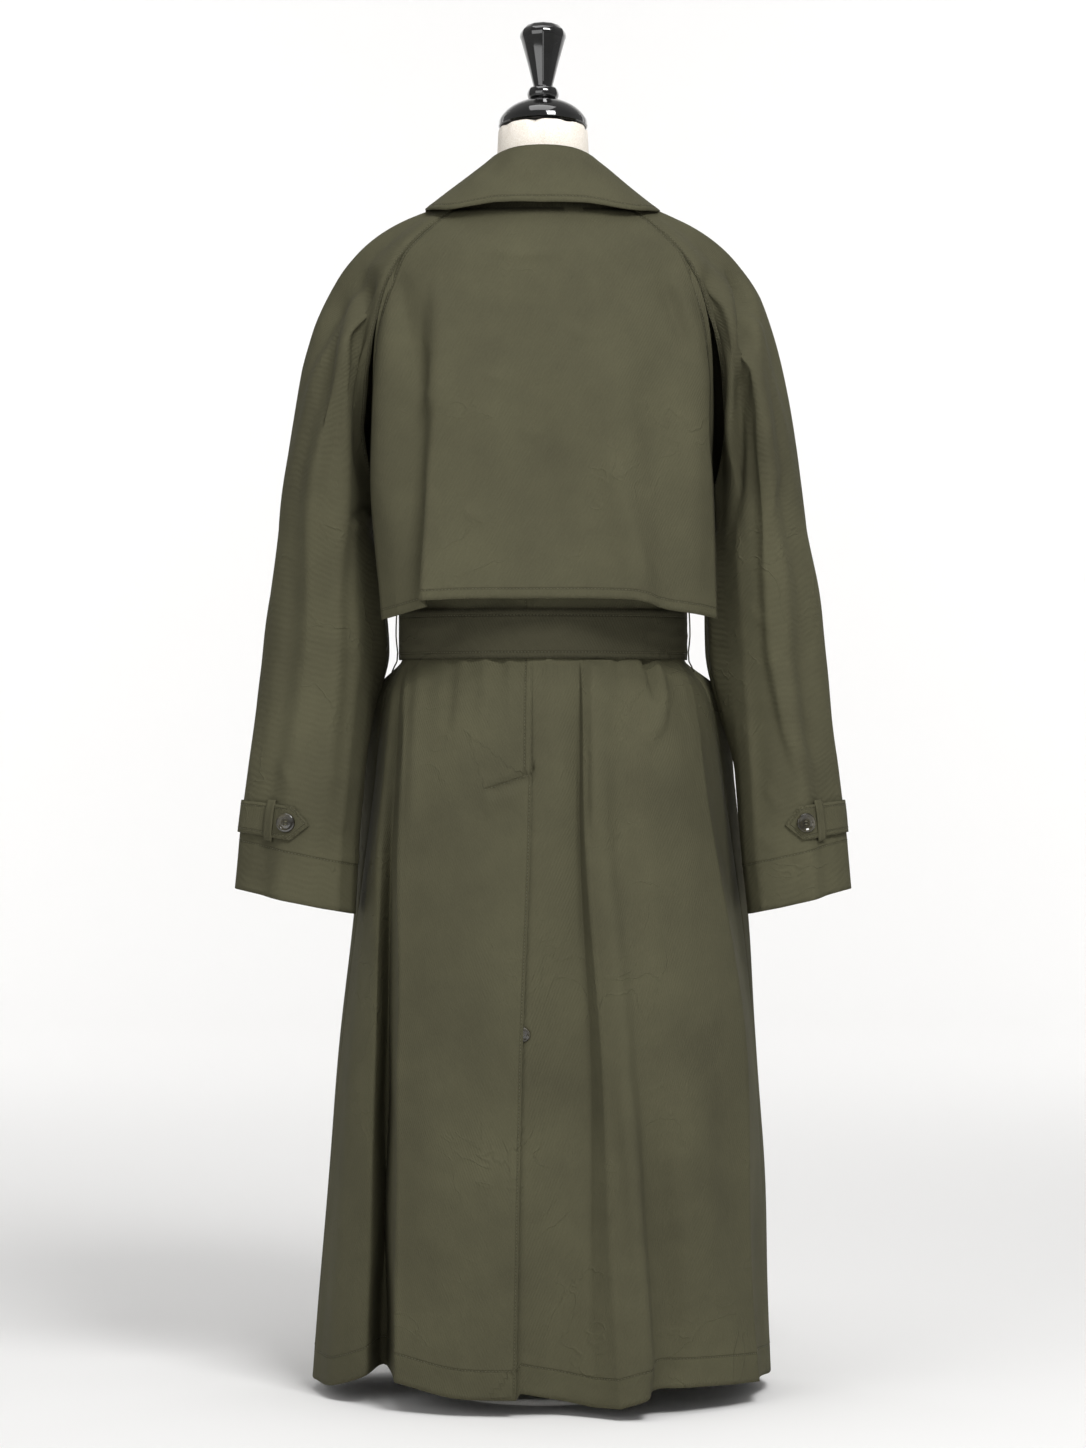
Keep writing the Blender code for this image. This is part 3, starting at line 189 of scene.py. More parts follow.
SLEEVE_FRONT_FOLDS = (
    ("overarm", "soft", 0, 80, -14, 1183, 140, 8, -22, -20, 4, 210, 0, 0, 0, 2),
    ("neck_end", "soft", -24, 84, 20, 1176, 92, 8, -26, -17, 8, 190, 0, 0, 0, 1),
    ("outer_1", "soft", -48, 113, 50, 1140, 62, 8, -26, -12, 10, 160, 0, 0, 0, 1),
    ("outer_2", "soft", -72, 134, 62, 1110, 42, 8, -26, -8, 10, 130, 0, 3, 3, 1),
    ("front_1", "soft", -96, 150, 66, 1075, 26, 6, -26, -6, 10, 104, 0, 0, 0, 1),
    ("front_2", "soft", -122, 160, 58, 1030, 12, 6, -26, -3, 6, 74, 0, 3, 2, 1),
    ("inner_1", "soft", -150, 167, 34, 975, 6, 2, -22, 0, 2, 44, 0, 0, 0, 1),
    ("underarm", "soft", -180, 168, -8, 905, 2, 2, -12, -1, -2, 14, 0, 0, 0, 1),
)
ARM_HEIGHTS = (860, 800, 740, 680, 620, 560, 492)
ARM_START = ARM_HEIGHTS[0]  # the shoulder part ends here
FOREARM = 680  # the sleeve's swells change from their middle size here
SLEEVE_END = ARM_HEIGHTS[-1]  # to their lower size here

# Fold lines of the storm flap, in order from its left edge to its right one
FLAP_COLUMNS = (
    "name", "kind", "share", "chest_x", "chest_y", "mid_x", "mid_y", "hem_x", "hem_y", "hem_z", "steps",
)
FLAP_FOLDS = (
    ("left_edge", "soft", -1.0, -166, -84, -169, -84, -159, -84, 769, 1),
    ("left_swell", "soft", -0.86, -144, -108, -147, -110, -142, -104, 773, 2),
    ("tuck_inner", "crease", -0.68, -113, -112, -117, -114, -112, -124, 781, 1),
    ("tuck_outer", "crease", -0.63, -104, -127, -112, -134, -119, -147, 786, 2),
    ("left_panel", "soft", -0.38, -66, -134, -70, -141, -72, -149, 788, 2),
    ("centre", "soft", -0.05, -10, -135, -10, -140, -10, -148, 788, 2),
    ("right_panel", "soft", 0.25, 38, -135, 48, -141, 56, -147, 788, 2),
    ("right_ridge", "soft", 0.48, 70, -133, 84, -140, 100, -147, 785, 1),
    ("right_trough", "soft", 0.64, 104, -122, 112, -127, 118, -131, 779, 2),
    ("right_swell", "soft", 0.86, 142, -106, 150, -112, 150, -108, 774, 2),
    ("right_edge", "soft", 1.0, 162, -82, 168, -86, 172, -84, 770, 1),
)
FLAP_SEWN = 1060  # above this height the flap lies on the back
FLAP_HEIGHTS = (1172, 1150, 1125, 1095, 1060, 1030, 1000, 950, 900, 845)
FLAP_CHEST = 1000
FLAP_MID = 900
FLAP_LOWEST = 780  # the flap's last row, before its hem takes its own heights

# The collar, from the middle of the back to its front point; the fold line and the outer edge
COLLAR_COLUMNS = (
    "name", "fold_x", "fold_y", "fold_z", "edge_x", "edge_y", "edge_z", "stand_x", "stand_y", "stand_z",
)
COLLAR_STATIONS = (
    ("centre_back", 0, -65, 1238, 0, -102, 1178, 0, -64.6, 1190.4),
    ("back_quarter", 28, -60, 1236, 46, -99, 1177, 33, -60.4, 1190.4),
    ("neck_back", 47, -40, 1231, 91, -85, 1172, 60, -48.6, 1190.4),
    ("neck_side", 57, -10, 1224, 113, -52, 1175.4, 77.6, -13.6, 1189),
    ("neck_front", 63, 22, 1208, 118, 4, 1177.0, 80, 17.5, 1180),
    ("front_quarter", 69, 46, 1186, 133, 52, 1152, 82, 37, 1172),
    ("front_point", 68, 66, 1164, 120, 100, 1100, 74, 60, 1158),
)
COLLAR_SWELL = 1.5  # how far the fall bows out between fold and edge
STAND_IN = 2.1  # the stand lies this far inside the fall at the fold
STAND_DROP = 0.9

# Buttons, straps and belt
BUTTON_RADIUS = 12
BUTTON_THICK = 3.6
CUFF_BUTTON_RADIUS = 9.5
STRAP_WIDTH = 34
STRAP_HEIGHT = 569
STRAP_TIP_TURN = 96
STRAP_END_TURN = -150
STRAP_KEEPER_TURN = 60
POCKET_TOP = 706
POCKET_BOTTOM = 596
POCKET_PLACE = 1.62  # columns of the front panel from its side seam, at the top
POCKET_SLANT = 0.25
POCKET_HALF = 0.3  # half the welt's width, in columns

# The dress form: half width, back and front at each height
FORM_COLUMNS = ("height", "half_x", "back_y", "front_y")
FORM_ROWS = (
    (1262, 45, -45, 43),
    (1235, 46, -46, 42),
    (1208, 48, -48, 41),
    (1191, 55, -53, 41),
    (1176, 76, -60, 44),
    (1163.5, 104, -68, 50),
    (1147.5, 130, -76, 56),
    (1125.5, 156, -84, 70),
    (1092, 168, -92, 84),
    (1045, 166, -98, 98),
    (1000, 158, -98, 106),
    (930, 140, -92, 100),
    (850, 121, -83, 84),
    (760, 115, -80, 80),
    (680, 138, -92, 88),
    (600, 152, -104, 94),
    (560, 152, -104, 94),
    (544, 144, -98, 88),
)
CAP_TILT = math.radians(7)
CAP_HEIGHT = 1263
POLE_RADIUS = 14
FOOT_RADIUS = 92
FOOT_THICK = 6

# The belt's way round: places are shares of the waist, from the middle of the front by way of +X
BELT_AIR = 0.6  # between the belt and what it lies on
BUCKLE_PLACE = 0.02
BELT_TIP = 0.115  # how far the pointed end reaches past its beginning
BUCKLE_BAR = 2.4  # how far the buckle's bar holds the second turn off the first
BELT_RING = 720  # points round the waist that the belt follows
BELT_CLIMB = 0.93  # from here the second turn climbs over the buckle
BELT_POINT = 0.018  # how far its end's corners are cut back
BELT_STEPS = (190, 20, 26)  # round, climbing, and to the end


# ---------------------------------------------------------------- reading the tables


def column(rows, names, name):
    """One named column of a table."""
    place = names.index(name)
    return [row[place] for row in rows]


def ease(keys, values, at):
    """A smooth line through (key, value) that never overshoots, read at one place."""
    order = np.argsort(keys)
    x = np.array(keys, float)[order]
    y = np.array(values, float)[order]
    at = min(max(at, x[0]), x[-1])
    step = np.diff(x)
    slope = np.diff(y) / step
    tangent = np.zeros(len(x))
    tangent[0] = slope[0]
    tangent[-1] = slope[-1]
    for i in range(1, len(x) - 1):
        if slope[i - 1] * slope[i] > 0:
            before = 2 * step[i] + step[i - 1]
            after = step[i] + 2 * step[i - 1]
            tangent[i] = (before + after) / (before / slope[i - 1] + after / slope[i])
    i = min(int(np.searchsorted(x, at, side="right")) - 1, len(step) - 1)
    t = (at - x[i]) / step[i]
    return float(
        (1 + 2 * t) * (1 - t) ** 2 * y[i]
        + t * (1 - t) ** 2 * step[i] * tangent[i]
        + t * t * (3 - 2 * t) * y[i + 1]
        + t * t * (t - 1) * step[i] * tangent[i + 1]
    )


def across(points, kinds, steps, closed=False):
    """A curve through the fold lines of one row, smooth at a soft line and bent at a crease."""
    points = [Vector(p) for p in points]
    count = len(points)
    ends = points[1:] + ([points[0]] if closed else [])
    chords = [b - a for a, b in zip(points, ends)]
    spans = [max(c.length, 1e-6) for c in chords]
    slopes = [c / s for c, s in zip(chords, spans)]
    leave, arrive = [], []
    for i in range(count):
        end = not closed and i in (0, count - 1)
        if end or kinds[i] == "crease":
            leave.append(slopes[i if closed else min(i, len(slopes) - 1)])
            arrive.append(slopes[i - 1 if closed else max(i - 1, 0)])
            continue
        share = spans[i - 1] / (spans[i - 1] + spans[i])
        mean = slopes[i - 1] * (1 - share) + slopes[i] * share
        leave.append(mean)
        arrive.append(mean)
    made = [points[0]]
    for i, span in enumerate(spans):
        following = (i + 1) % count
        for k in range(1, steps[i] + 1):
            t = k / steps[i]
            made.append(
                points[i] * ((1 + 2 * t) * (1 - t) ** 2)
                + leave[i] * (t * (1 - t) ** 2 * span)
                + points[following] * (t * t * (3 - 2 * t))
                + arrive[following] * (t * t * (t - 1) * span)
            )
    return made


# ---------------------------------------------------------------- the coat's surfaces, in millimetres


def body_point(rows, height, share):
    """A point of the bodice: share 0 is the middle, 1 the seam on +X and -1 the seam on -X."""
    heights = column(rows, BACK_COLUMNS, "height")
    edge_x, edge_y, centre_y, turn = (
        ease(heights, column(rows, BACK_COLUMNS, name), height) for name in BACK_COLUMNS[1:]
    )
    turn = math.radians(turn)
    angle = share * turn
    x = edge_x * math.sin(angle) / math.sin(turn)
    y = centre_y + (edge_y - centre_y) * (1 - math.cos(angle)) / (1 - math.cos(turn))
    return Vector((x, y, height))


def skirt_point(fold, rows, height, side):
    """A fold line below the belt. height runs from the belt to 0, and 0 is that line's own hem."""
    get = dict(zip(SKIRT_COLUMNS, fold))
    start = body_point(rows, BELT_BOTTOM, get["share"] * side)
    hip = Vector((get["hip_x"] * side, get["hip_y"], HIP))
    knee = Vector((get["knee_x"] * side, get["knee_y"], KNEE))
    hem = Vector((get["hem_x"] * side, get["hem_y"], get["hem_z"]))
    bloom = start.lerp(hip, get["bloom"])
    keys = (BELT_BOTTOM, BLOOM, HIP, KNEE, 0)
    line = (start, bloom, hip, knee, hem)
    x, y = (ease(keys, [p[i] for p in line], height) for i in (0, 1))
    return Vector((x, y, get["hem_z"] + height * (1 - get["hem_z"] / BELT_BOTTOM)))


# Heights at which the body panels have a row of the frame's own
BODY_HEIGHTS = (
    NECKLINE, 1172, 1150, 1125, 1095, 1060, 1015, 960, ARMPIT, 850, BELT_TOP, BELT_BOTTOM,
    BLOOM, 660, VENT_TOP, VENT_SLANT, 540, 430, KNEE, 180, 0,
)
FRONT_HEIGHTS = (
    1165, 1140, 1125, 1110, 1092, 1075, 1052, 1030, 1002, 975, 952, BREAK, ARMPIT, 850, 815,
    BELT_TOP, BELT_BOTTOM, BLOOM, 650, 540, 430, KNEE, 180, 0,
)


def panel_row(folds, rows, height, side, shift=None):
    """One row of a panel that runs from the shoulder to the hem, through its fold lines."""
    points = []
    for fold in folds:
        share = fold[SKIRT_COLUMNS.index("share")]
        if shift:
            share = shift(height, share)
        if height >= BELT_BOTTOM:
            points.append(body_point(rows, height, share * side))
        else:
            points.append(skirt_point(fold, rows, height, side))
    return points


def lapel_line(height):
    """The front's inner edge above the break, as a share of the row: the neck opening's V."""
    heights = (BREAK, 975, 1030, 1075, 1110, 1140, 1165)
    return ease(heights, (-0.50, -0.22, 0.12, 0.36, 0.52, 0.64, 0.72), height)


def front_share(height, share):
    """Squeezes the shares of a front panel into what is left beside the neck opening."""
    if height <= OVERLAP_END:
        return share
    opening = max(OVERLAP_SHARE, lapel_line(max(height, BREAK)))
    if height < BREAK:
        opening = OVERLAP_SHARE + (opening - OVERLAP_SHARE) * (height - OVERLAP_END) / (BREAK - OVERLAP_END)
    return 1 - (1 - share) * (1 - opening) / (1 - OVERLAP_SHARE)


def along_row(row, distance):
    """The point this far along a row of points."""
    for a, b in zip(row, row[1:]):
        span = (b - a).length
        if distance <= span:
            return a.lerp(b, distance / span)
        distance -= span
    return row[-1]


def front_folds(side):
    """The front's fold lines, with the side seam of the back it is sewn to and the swell beside it."""
    back = BACK_RIGHT_FOLDS if side > 0 else BACK_LEFT_FOLDS
    seam = (*back[-1][:-1], FRONT_FOLDS[0][-1])
    swell = list(FRONT_FOLDS[1])
    for name, stand in zip(("hip_x", "knee_x", "hem_x"), SIDE_SWELL):
        place = SKIRT_COLUMNS.index(name)
        swell[place] = seam[place] + stand
    return (seam, tuple(swell), *FRONT_FOLDS[2:])


def under_depth(height):
    """The left front lies below the right one up to the place where the two part."""
    return ease(PARTING, (UNDER_DEPTH, 0), height)


def arm_point(arm, height, turn, swell):
    """A point of the arm below the armpit; turn 0 is the outside, 90 the back, 180 the body side."""
    heights = column(arm, ARM_COLUMNS, "height")
    centre_x, centre_y, half_x, half_y, slant, reach = (
        ease(heights, column(arm, ARM_COLUMNS, name), height) for name in ARM_COLUMNS[1:]
    )
    angle = math.radians(turn)
    out = math.cos(angle)
    away = abs((turn - REACH_TURN + 180) % 360 - 180)
    swell += reach * max(0.0, 1 - away / REACH_SPREAD)
    return Vector(
        (
            centre_x + (half_x + swell) * out,
            centre_y - (half_y + swell) * math.sin(angle),
            height + slant * out,
        )
    )


def sleeve_folds():
    """The fold lines right round the sleeve: over the back to the underarm seam and home by the front."""
    ring = (*SLEEVE_BACK_FOLDS, *reversed(SLEEVE_FRONT_FOLDS[1:-1]))
    steps = [fold[-1] for fold in (*SLEEVE_BACK_FOLDS[:-1], *reversed(SLEEVE_FRONT_FOLDS[:-1]))]
    return [dict(zip(SLEEVE_COLUMNS, fold)) for fold in ring], steps


def arm_ring(arm, height, steps):
    """One ring of the sleeve below the armpit."""
    named = sleeve_folds()[0]
    points = [
        arm_point(arm, height, g["turn"], ease((SLEEVE_END, FOREARM), (g["lower"], g["middle"]), height))
        for g in named
    ]
    return across(points, [g["kind"] for g in named], steps, closed=True)


def waist_ring(height, count):
    """Points right round the waist, from the middle of the front by way of +X."""
    points = []
    for k in range(count):
        turn = 4 * k / count
        if turn <= 1:
            points.append(body_point(FRONT_ROWS, height, turn))
        elif turn <= 3:
            points.append(body_point(BACK_ROWS, height, 2 - turn))
        else:
            points.append(body_point(FRONT_ROWS, height, turn - 4))
    return points


# ---------------------------------------------------------------- creases, laid in one by one

# A crease follows points (x, z), in millimetres, on the side that it shows from. depth stands out (+) or
# sinks in (-), wide is its half width, lean makes one flank steeper (+ the right one, going down), and start
# and end are the shares of its length over which it dies away.
CREASE_COLUMNS = ("depth", "wide", "lean", "start", "end", "path")

FLAP_CREASES = (
    (4.8, 9, 0.5, 0.3, 0.0, ((-101, 1098), (-102, 1068), (-103, 1034), (-105, 1000), (-107, 985))),
    (-5.6, 12, 0.3, 0.3, 0.2, ((-141, 1116), (-137, 1085), (-131, 1050), (-123, 1018), (-118, 982))),
    (6.8, 9, 0.0, 0.3, 0.3, ((-146, 1104), (-152, 1041), (-157, 983), (-159, 914), (-158, 846))),
    (-4.8, 9, 0.2, 0.4, 0.4, ((108, 1124), (119, 1093), (132, 1061), (143, 1030), (149, 1000))),
    (5.4, 9, 0.2, 0.3, 0.4, ((119, 1120), (135, 1082), (146, 1048), (154, 1011), (158, 975), (160, 930))),
    (3.9, 13, -0.3, 0.3, 0.2, ((55, 951), (72, 905), (84, 866), (94, 826), (103, 792))),
    (-3.3, 17, 0.0, 0.4, 0.4, ((78, 1066), (94, 1019), (108, 942), (119, 872))),
    (2.7, 22, 0.0, 0.4, 0.3, ((-40, 1075), (-48, 1000), (-44, 920), (-52, 850), (-50, 795))),
    (-2.4, 20, 0.0, 0.4, 0.4, ((-8, 1010), (-2, 930), (6, 860), (2, 800))),
    (2.1, 6, 0.4, 0.4, 0.4, ((-64, 1128), (-20, 1122), (34, 1126))),
    (1.5, 4, 0.4, 0.4, 0.4, ((-66, 1010), (-46, 1000), (-22, 1003))),
    (-1.5, 4, 0.0, 0.4, 0.4, ((-98, 1060), (-88, 1052), (-80, 1056))),
    (1.7, 4, -0.4, 0.4, 0.4, ((-30, 958), (-8, 949), (8, 952))),
    (1.4, 4, 0.3, 0.4, 0.4, ((20, 1052), (42, 1040), (60, 1044))),
    (1.5, 4, 0.0, 0.4, 0.4, ((-84, 876), (-60, 866), (-44, 869))),
)

BACK_LEFT_CREASES = (
    (3.6, 3.5, 0.5, 0.0, 0.3, ((-55, 862), (-55, 820), (-55, 779))),
    (3.3, 3.5, -0.5, 0.0, 0.3, ((-24, 855), (-24, 820), (-24, 779))),
    (3.0, 5, 0.3, 0.0, 0.7, ((-56, 735), (-58, 700), (-62, 650))),
    (-3.3, 6, 0.0, 0.0, 0.6, ((-88, 735), (-92, 690), (-97, 630))),
    (2.4, 5, -0.3, 0.0, 0.7, ((-30, 735), (-31, 706), (-34, 660))),
    (3.9, 7, 0.2, 0.0, 0.5, ((-118, 729), (-124, 680), (-129, 590), (-131, 520))),
    (-2.7, 26, 0.0, 0.4, 0.5, ((-66, 590), (-72, 430), (-80, 240), (-86, 60))),
    (2.7, 20, 0.0, 0.4, 0.4, ((-108, 560), (-112, 380), (-116, 200), (-120, 60))),
    (-4.0, 4.5, 0.5, 0.0, 0.2, ((-9, 619), (-34, 611), (-57, 603))),
    (2.8, 9, 0.0, 0.2, 0.3, ((-18, 602), (-40, 597), (-64, 588))),
    (1.7, 5, 0.0, 0.4, 0.5, ((-72, 700), (-84, 676), (-104, 660))),
    (-1.8, 3, 0.0, 0.0, 0.5, ((-40, 735), (-40, 722), (-41, 706))),
    (-1.8, 3, 0.0, 0.0, 0.5, ((-70, 735), (-71, 724), (-73, 708))),
)

BACK_RIGHT_CREASES = (
    (3.1, 3.5, 0.5, 0.0, 0.3, ((38, 858), (38, 820), (38, 779))),
    (3.4, 3.5, -0.5, 0.0, 0.3, ((97, 850), (97, 815), (97, 779))),
    (7.7, 9, 0.86, 0.05, 0.35, ((44, 729), (45, 700), (46, 660), (47, 600), (48, 540))),
    (-6.4, 5, 0.2, 0.0, 0.3, ((100, 737), (104, 719), (108, 700), (109, 682))),
    (5.9, 7, -0.3, 0.08, 0.4, ((108, 729), (114, 712), (116, 692), (112, 666), (98, 646), (84, 640))),
    (4.8, 10, 0.4, 0.3, 0.1, ((62, 356), (74, 325), (84, 240), (91, 171), (98, 94), (101, 21))),
    (-3.6, 14, 0.0, 0.4, 0.1, ((112, 300), (116, 200), (122, 100), (126, 20))),
    (2.8, 18, 0.0, 0.3, 0.4, ((86, 610), (98, 520), (106, 420), (112, 330))),
    (-3.1, 12, 0.0, 0.4, 0.5, ((70, 640), (76, 540), (84, 450))),
    (2.8, 8, 0.2, 0.0, 0.6, ((128, 735), (138, 700), (146, 660), (150, 610))),
    (-2.0, 4, 0.0, 0.0, 0.5, ((72, 735), (74, 716), (76, 694))),
    (1.8, 4, 0.0, 0.0, 0.6, ((6, 735), (6, 716), (7, 690))),
    (2.2, 12, 0.0, 0.4, 0.4, ((150, 420), (156, 300), (160, 180), (166, 70))),
)

FRONT_CREASES = (
    (3.4, 6, 0.2, 0.0, 0.6, ((-30, 735), (-32, 700), (-36, 640))),
    (3.6, 6, 0.0, 0.0, 0.6, ((-90, 735), (-96, 690), (-100, 610))),
    (-3.1, 6, 0.0, 0.0, 0.6, ((-66, 735), (-70, 700), (-76, 650))),
    (3.4, 6, 0.0, 0.0, 0.6, ((36, 735), (38, 700), (42, 636))),
    (-3.4, 6, 0.0, 0.0, 0.6, ((74, 735), (78, 700), (84, 640))),
    (3.6, 7, 0.2, 0.0, 0.6, ((104, 735), (112, 690), (120, 600))),
    (3.1, 16, 0.0, 0.4, 0.2, ((44, 480), (50, 320), (58, 160), (62, 30))),
    (3.1, 16, 0.0, 0.4, 0.2, ((-48, 500), (-54, 330), (-58, 170), (-66, 30))),
    (-3.4, 15, 0.0, 0.4, 0.1, ((96, 420), (104, 280), (112, 140), (116, 20))),
    (-3.4, 15, 0.0, 0.4, 0.1, ((-100, 440), (-106, 300), (-112, 150), (-120, 20))),
    (2.8, 5, 0.0, 0.0, 0.7, ((62, 778), (66, 800), (72, 836))),
    (2.8, 5, 0.0, 0.0, 0.7, ((-58, 778), (-62, 804), (-70, 840))),
    (2.5, 7, 0.0, 0.3, 0.4, ((120, 900), (104, 862), (96, 800))),
    (2.5, 7, 0.0, 0.3, 0.4, ((-124, 906), (-106, 858), (-98, 800))),
)

SLEEVE_LEFT_BACK_CREASES = (
    (7.5, 11, -0.3, 0.12, 0.3, (
        (-187, 1104), (-192, 1045), (-194, 986), (-197, 888), (-202, 829), (-205, 740), (-210, 632),
        (-217, 543),
    )),
    (-13.8, 10, 0.1, 0.12, 0.3, (
        (-169, 1120), (-177, 1096), (-181, 1045), (-180, 996), (-178, 950), (-176, 890),
    )),
    (-6.2, 10, 0.0, 0.2, 0.5, ((-192, 1116), (-200, 1085), (-208, 1045), (-214, 980), (-219, 900))),
    (4.0, 8, 0.0, 0.3, 0.5, ((-204, 1096), (-220, 1058), (-232, 1018), (-240, 967))),
    (-3.8, 5, 0.3, 0.3, 0.3, ((-170, 893), (-181, 877), (-193, 866))),
    (3.0, 5, -0.3, 0.3, 0.3, ((-170, 882), (-182, 866), (-192, 856))),
    (-3.2, 14, 0.0, 0.4, 0.4, ((-232, 880), (-238, 800), (-246, 700), (-252, 620))),
    (3.0, 14, 0.0, 0.4, 0.4, ((-256, 820), (-262, 740), (-268, 650), (-276, 570))),
    (1.6, 4, 0.3, 0.4, 0.5, ((-214, 622), (-204, 612), (-190, 618))),
    (1.5, 4, -0.3, 0.4, 0.5, ((-240, 742), (-226, 733), (-214, 740))),
    (-1.5, 4, 0.0, 0.4, 0.5, ((-184, 566), (-198, 558), (-214, 562))),
    (1.9, 5, 0.0, 0.4, 0.5, ((-262, 640), (-250, 612), (-240, 590))),
    (1.5, 4, 0.0, 0.4, 0.5, ((-204, 540), (-186, 534), (-176, 540))),
)

SLEEVE_RIGHT_BACK_CREASES = (
    (-11.2, 5, 0.3, 0.12, 0.35, (
        (181, 1130), (191, 1100), (196, 1065), (195, 1023), (192, 957), (188, 888), (184, 829),
    )),
    (7.5, 9, 0.4, 0.12, 0.2, (
        (190, 1122), (203, 1088), (208, 1035), (213, 976), (216, 907), (219, 829), (224, 740), (240, 656),
        (257, 600),
    )),
    (-10.0, 8, 0.0, 0.12, 0.3, ((158, 1120), (167, 1085), (171, 1045), (171, 996), (169, 940), (172, 880))),
    (5.0, 7, 0.0, 0.2, 0.3, ((167, 1126), (180, 1090), (185, 1040), (183, 976), (181, 910))),
    (-3.2, 7, 0.3, 0.3, 0.4, ((246, 934), (234, 890), (228, 850), (226, 800))),
    (3.2, 13, 0.0, 0.4, 0.4, ((268, 860), (272, 780), (278, 700), (284, 640))),
    (-3.5, 12, 0.0, 0.4, 0.3, ((246, 800), (252, 730), (262, 664), (272, 606))),
    (-3.0, 12, 0.0, 0.4, 0.4, ((206, 760), (208, 680), (214, 610), (222, 540))),
    (1.9, 4, 0.3, 0.4, 0.5, ((250, 650), (262, 630), (276, 620))),
    (2.0, 4, 0.0, 0.4, 0.5, ((206, 560), (224, 548), (246, 552))),
    (1.6, 4, 0.0, 0.4, 0.5, ((214, 610), (228, 590), (238, 588))),
    (1.5, 4, 0.0, 0.4, 0.5, ((204, 780), (214, 768), (228, 770))),
)

SLEEVE_FRONT_CREASES = (
    (-5.6, 10, 0.0, 0.3, 0.5, ((176, 1080), (184, 1030), (188, 970), (190, 900))),
    (5.6, 11, 0.0, 0.3, 0.5, ((196, 1060), (206, 990), (212, 910), (216, 820))),
    (-4.2, 11, 0.0, 0.3, 0.5, ((226, 1020), (236, 930), (242, 830), (250, 720))),
    (3.6, 14, 0.0, 0.4, 0.4, ((262, 840), (270, 730), (280, 620))),
    (2.8, 6, 0.0, 0.4, 0.5, ((196, 720), (220, 700), (246, 706))),
    (2.2, 5, 0.0, 0.4, 0.5, ((204, 640), (226, 622), (256, 630))),
)

BELT_CREASES = (
    (1.7, 5, 0.0, 0.2, 0.5, ((-139, 766), (-120, 760), (-96, 764), (-70, 762))),
    (2.1, 4, 0.0, 0.1, 0.5, ((-142, 748), (-124, 744), (-104, 750))),
    (1.6, 4, 0.0, 0.1, 0.6, ((-140, 738), (-120, 741), (-92, 738))),
    (1.6, 8, 0.0, 0.4, 0.4, ((-60, 757), (-10, 752), (40, 757))),
    (2.3, 4, 0.0, 0.1, 0.5, ((144, 770), (128, 764), (104, 767))),
    (2.3, 4, 0.0, 0.1, 0.5, ((146, 757), (130, 752), (110, 757), (84, 754))),
    (2.1, 4, 0.0, 0.1, 0.6, ((145, 742), (128, 739), (106, 743))),
)

COLLAR_CREASES = (
    (2.2, 9, 0.0, 0.4, 0.4, ((-40, 1226), (-10, 1212), (22, 1216))),
    (-2.0, 9, 0.0, 0.4, 0.4, ((-60, 1206), (-30, 1198), (4, 1202))),
    (1.8, 6, 0.0, 0.4, 0.5, ((26, 1226), (46, 1208), (62, 1194))),
    (-1.7, 6, 0.0, 0.4, 0.5, ((-30, 1230), (-48, 1212), (-70, 1196))),
    (1.7, 5, 0.0, 0.3, 0.3, ((14, 1236), (12, 1226), (16, 1218))),
)


# ---------------------------------------------------------------- fine grids of cloth

FINE = 4.8  # spacing of the cloth's points
RIPPLE_WAVES = 7  # waves that add up to one ripple
BELT_CALM = (4, 70)  # above and below the belt the ripple comes back between these distances


def as_grid(rows):
    return np.array([[tuple(p) for p in row] for row in rows], float)


def normals_of(grid, axis=(0.0, 0.0)):
    """Unit normals of a grid, from its neighbours, turned away from an upright axis."""
    normal = np.cross(np.gradient(grid, axis=1), np.gradient(grid, axis=0))
    normal /= np.maximum(np.linalg.norm(normal, axis=2, keepdims=True), 1e-9)
    away = ((grid[:, :, :2] - np.array(axis, float)) * normal[:, :, :2]).sum()
    return normal if away > 0 else -normal


def lifted(grid, distance, axis=(0.0, 0.0)):
    """The grid moved out of its surface by a number, by one for each row, or by a field over the grid."""
    distance = np.asarray(distance, float)
    if distance.ndim == 1:
        distance = distance[:, None]
    return grid + normals_of(grid, axis) * np.broadcast_to(distance, grid.shape[:2])[..., None]


def heights_between(stops, step):
    """Every stop, with even steps of about this size between them."""
    made = [stops[0]]
    for a, b in zip(stops, stops[1:]):
        count = max(1, int(round(abs(b - a) / step)))
        made += [a + (b - a) * k / count for k in range(1, count + 1)]
    return made


def smooth_step(low, high, value):
    """0 below low, 1 above high, eased between."""
    t = np.clip((np.asarray(value, float) - low) / (high - low), 0, 1)
    return t * t * (3 - 2 * t)


def panel_steps(folds, rows, side, shift=None):
    """Steps between neighbouring fold lines, about FINE apart where the panel is widest."""
    spans = [0.0] * (len(folds) - 1)
    for height in (0, HIP, 960):
        points = panel_row(folds, rows, height, side, shift)
        spans = [max(span, (b - a).length) for span, a, b in zip(spans, points, points[1:])]
    return [max(2, math.ceil(span / FINE)) for span in spans] + [1]


def panel_grid(folds, rows, side, heights, shift=None):
    """A whole panel from shoulder to hem, a row for each height."""
    kinds = column(folds, SKIRT_COLUMNS, "kind")
    steps = panel_steps(folds, rows, side, shift)
    return as_grid([across(panel_row(folds, rows, h, side, shift), kinds, steps) for h in heights])


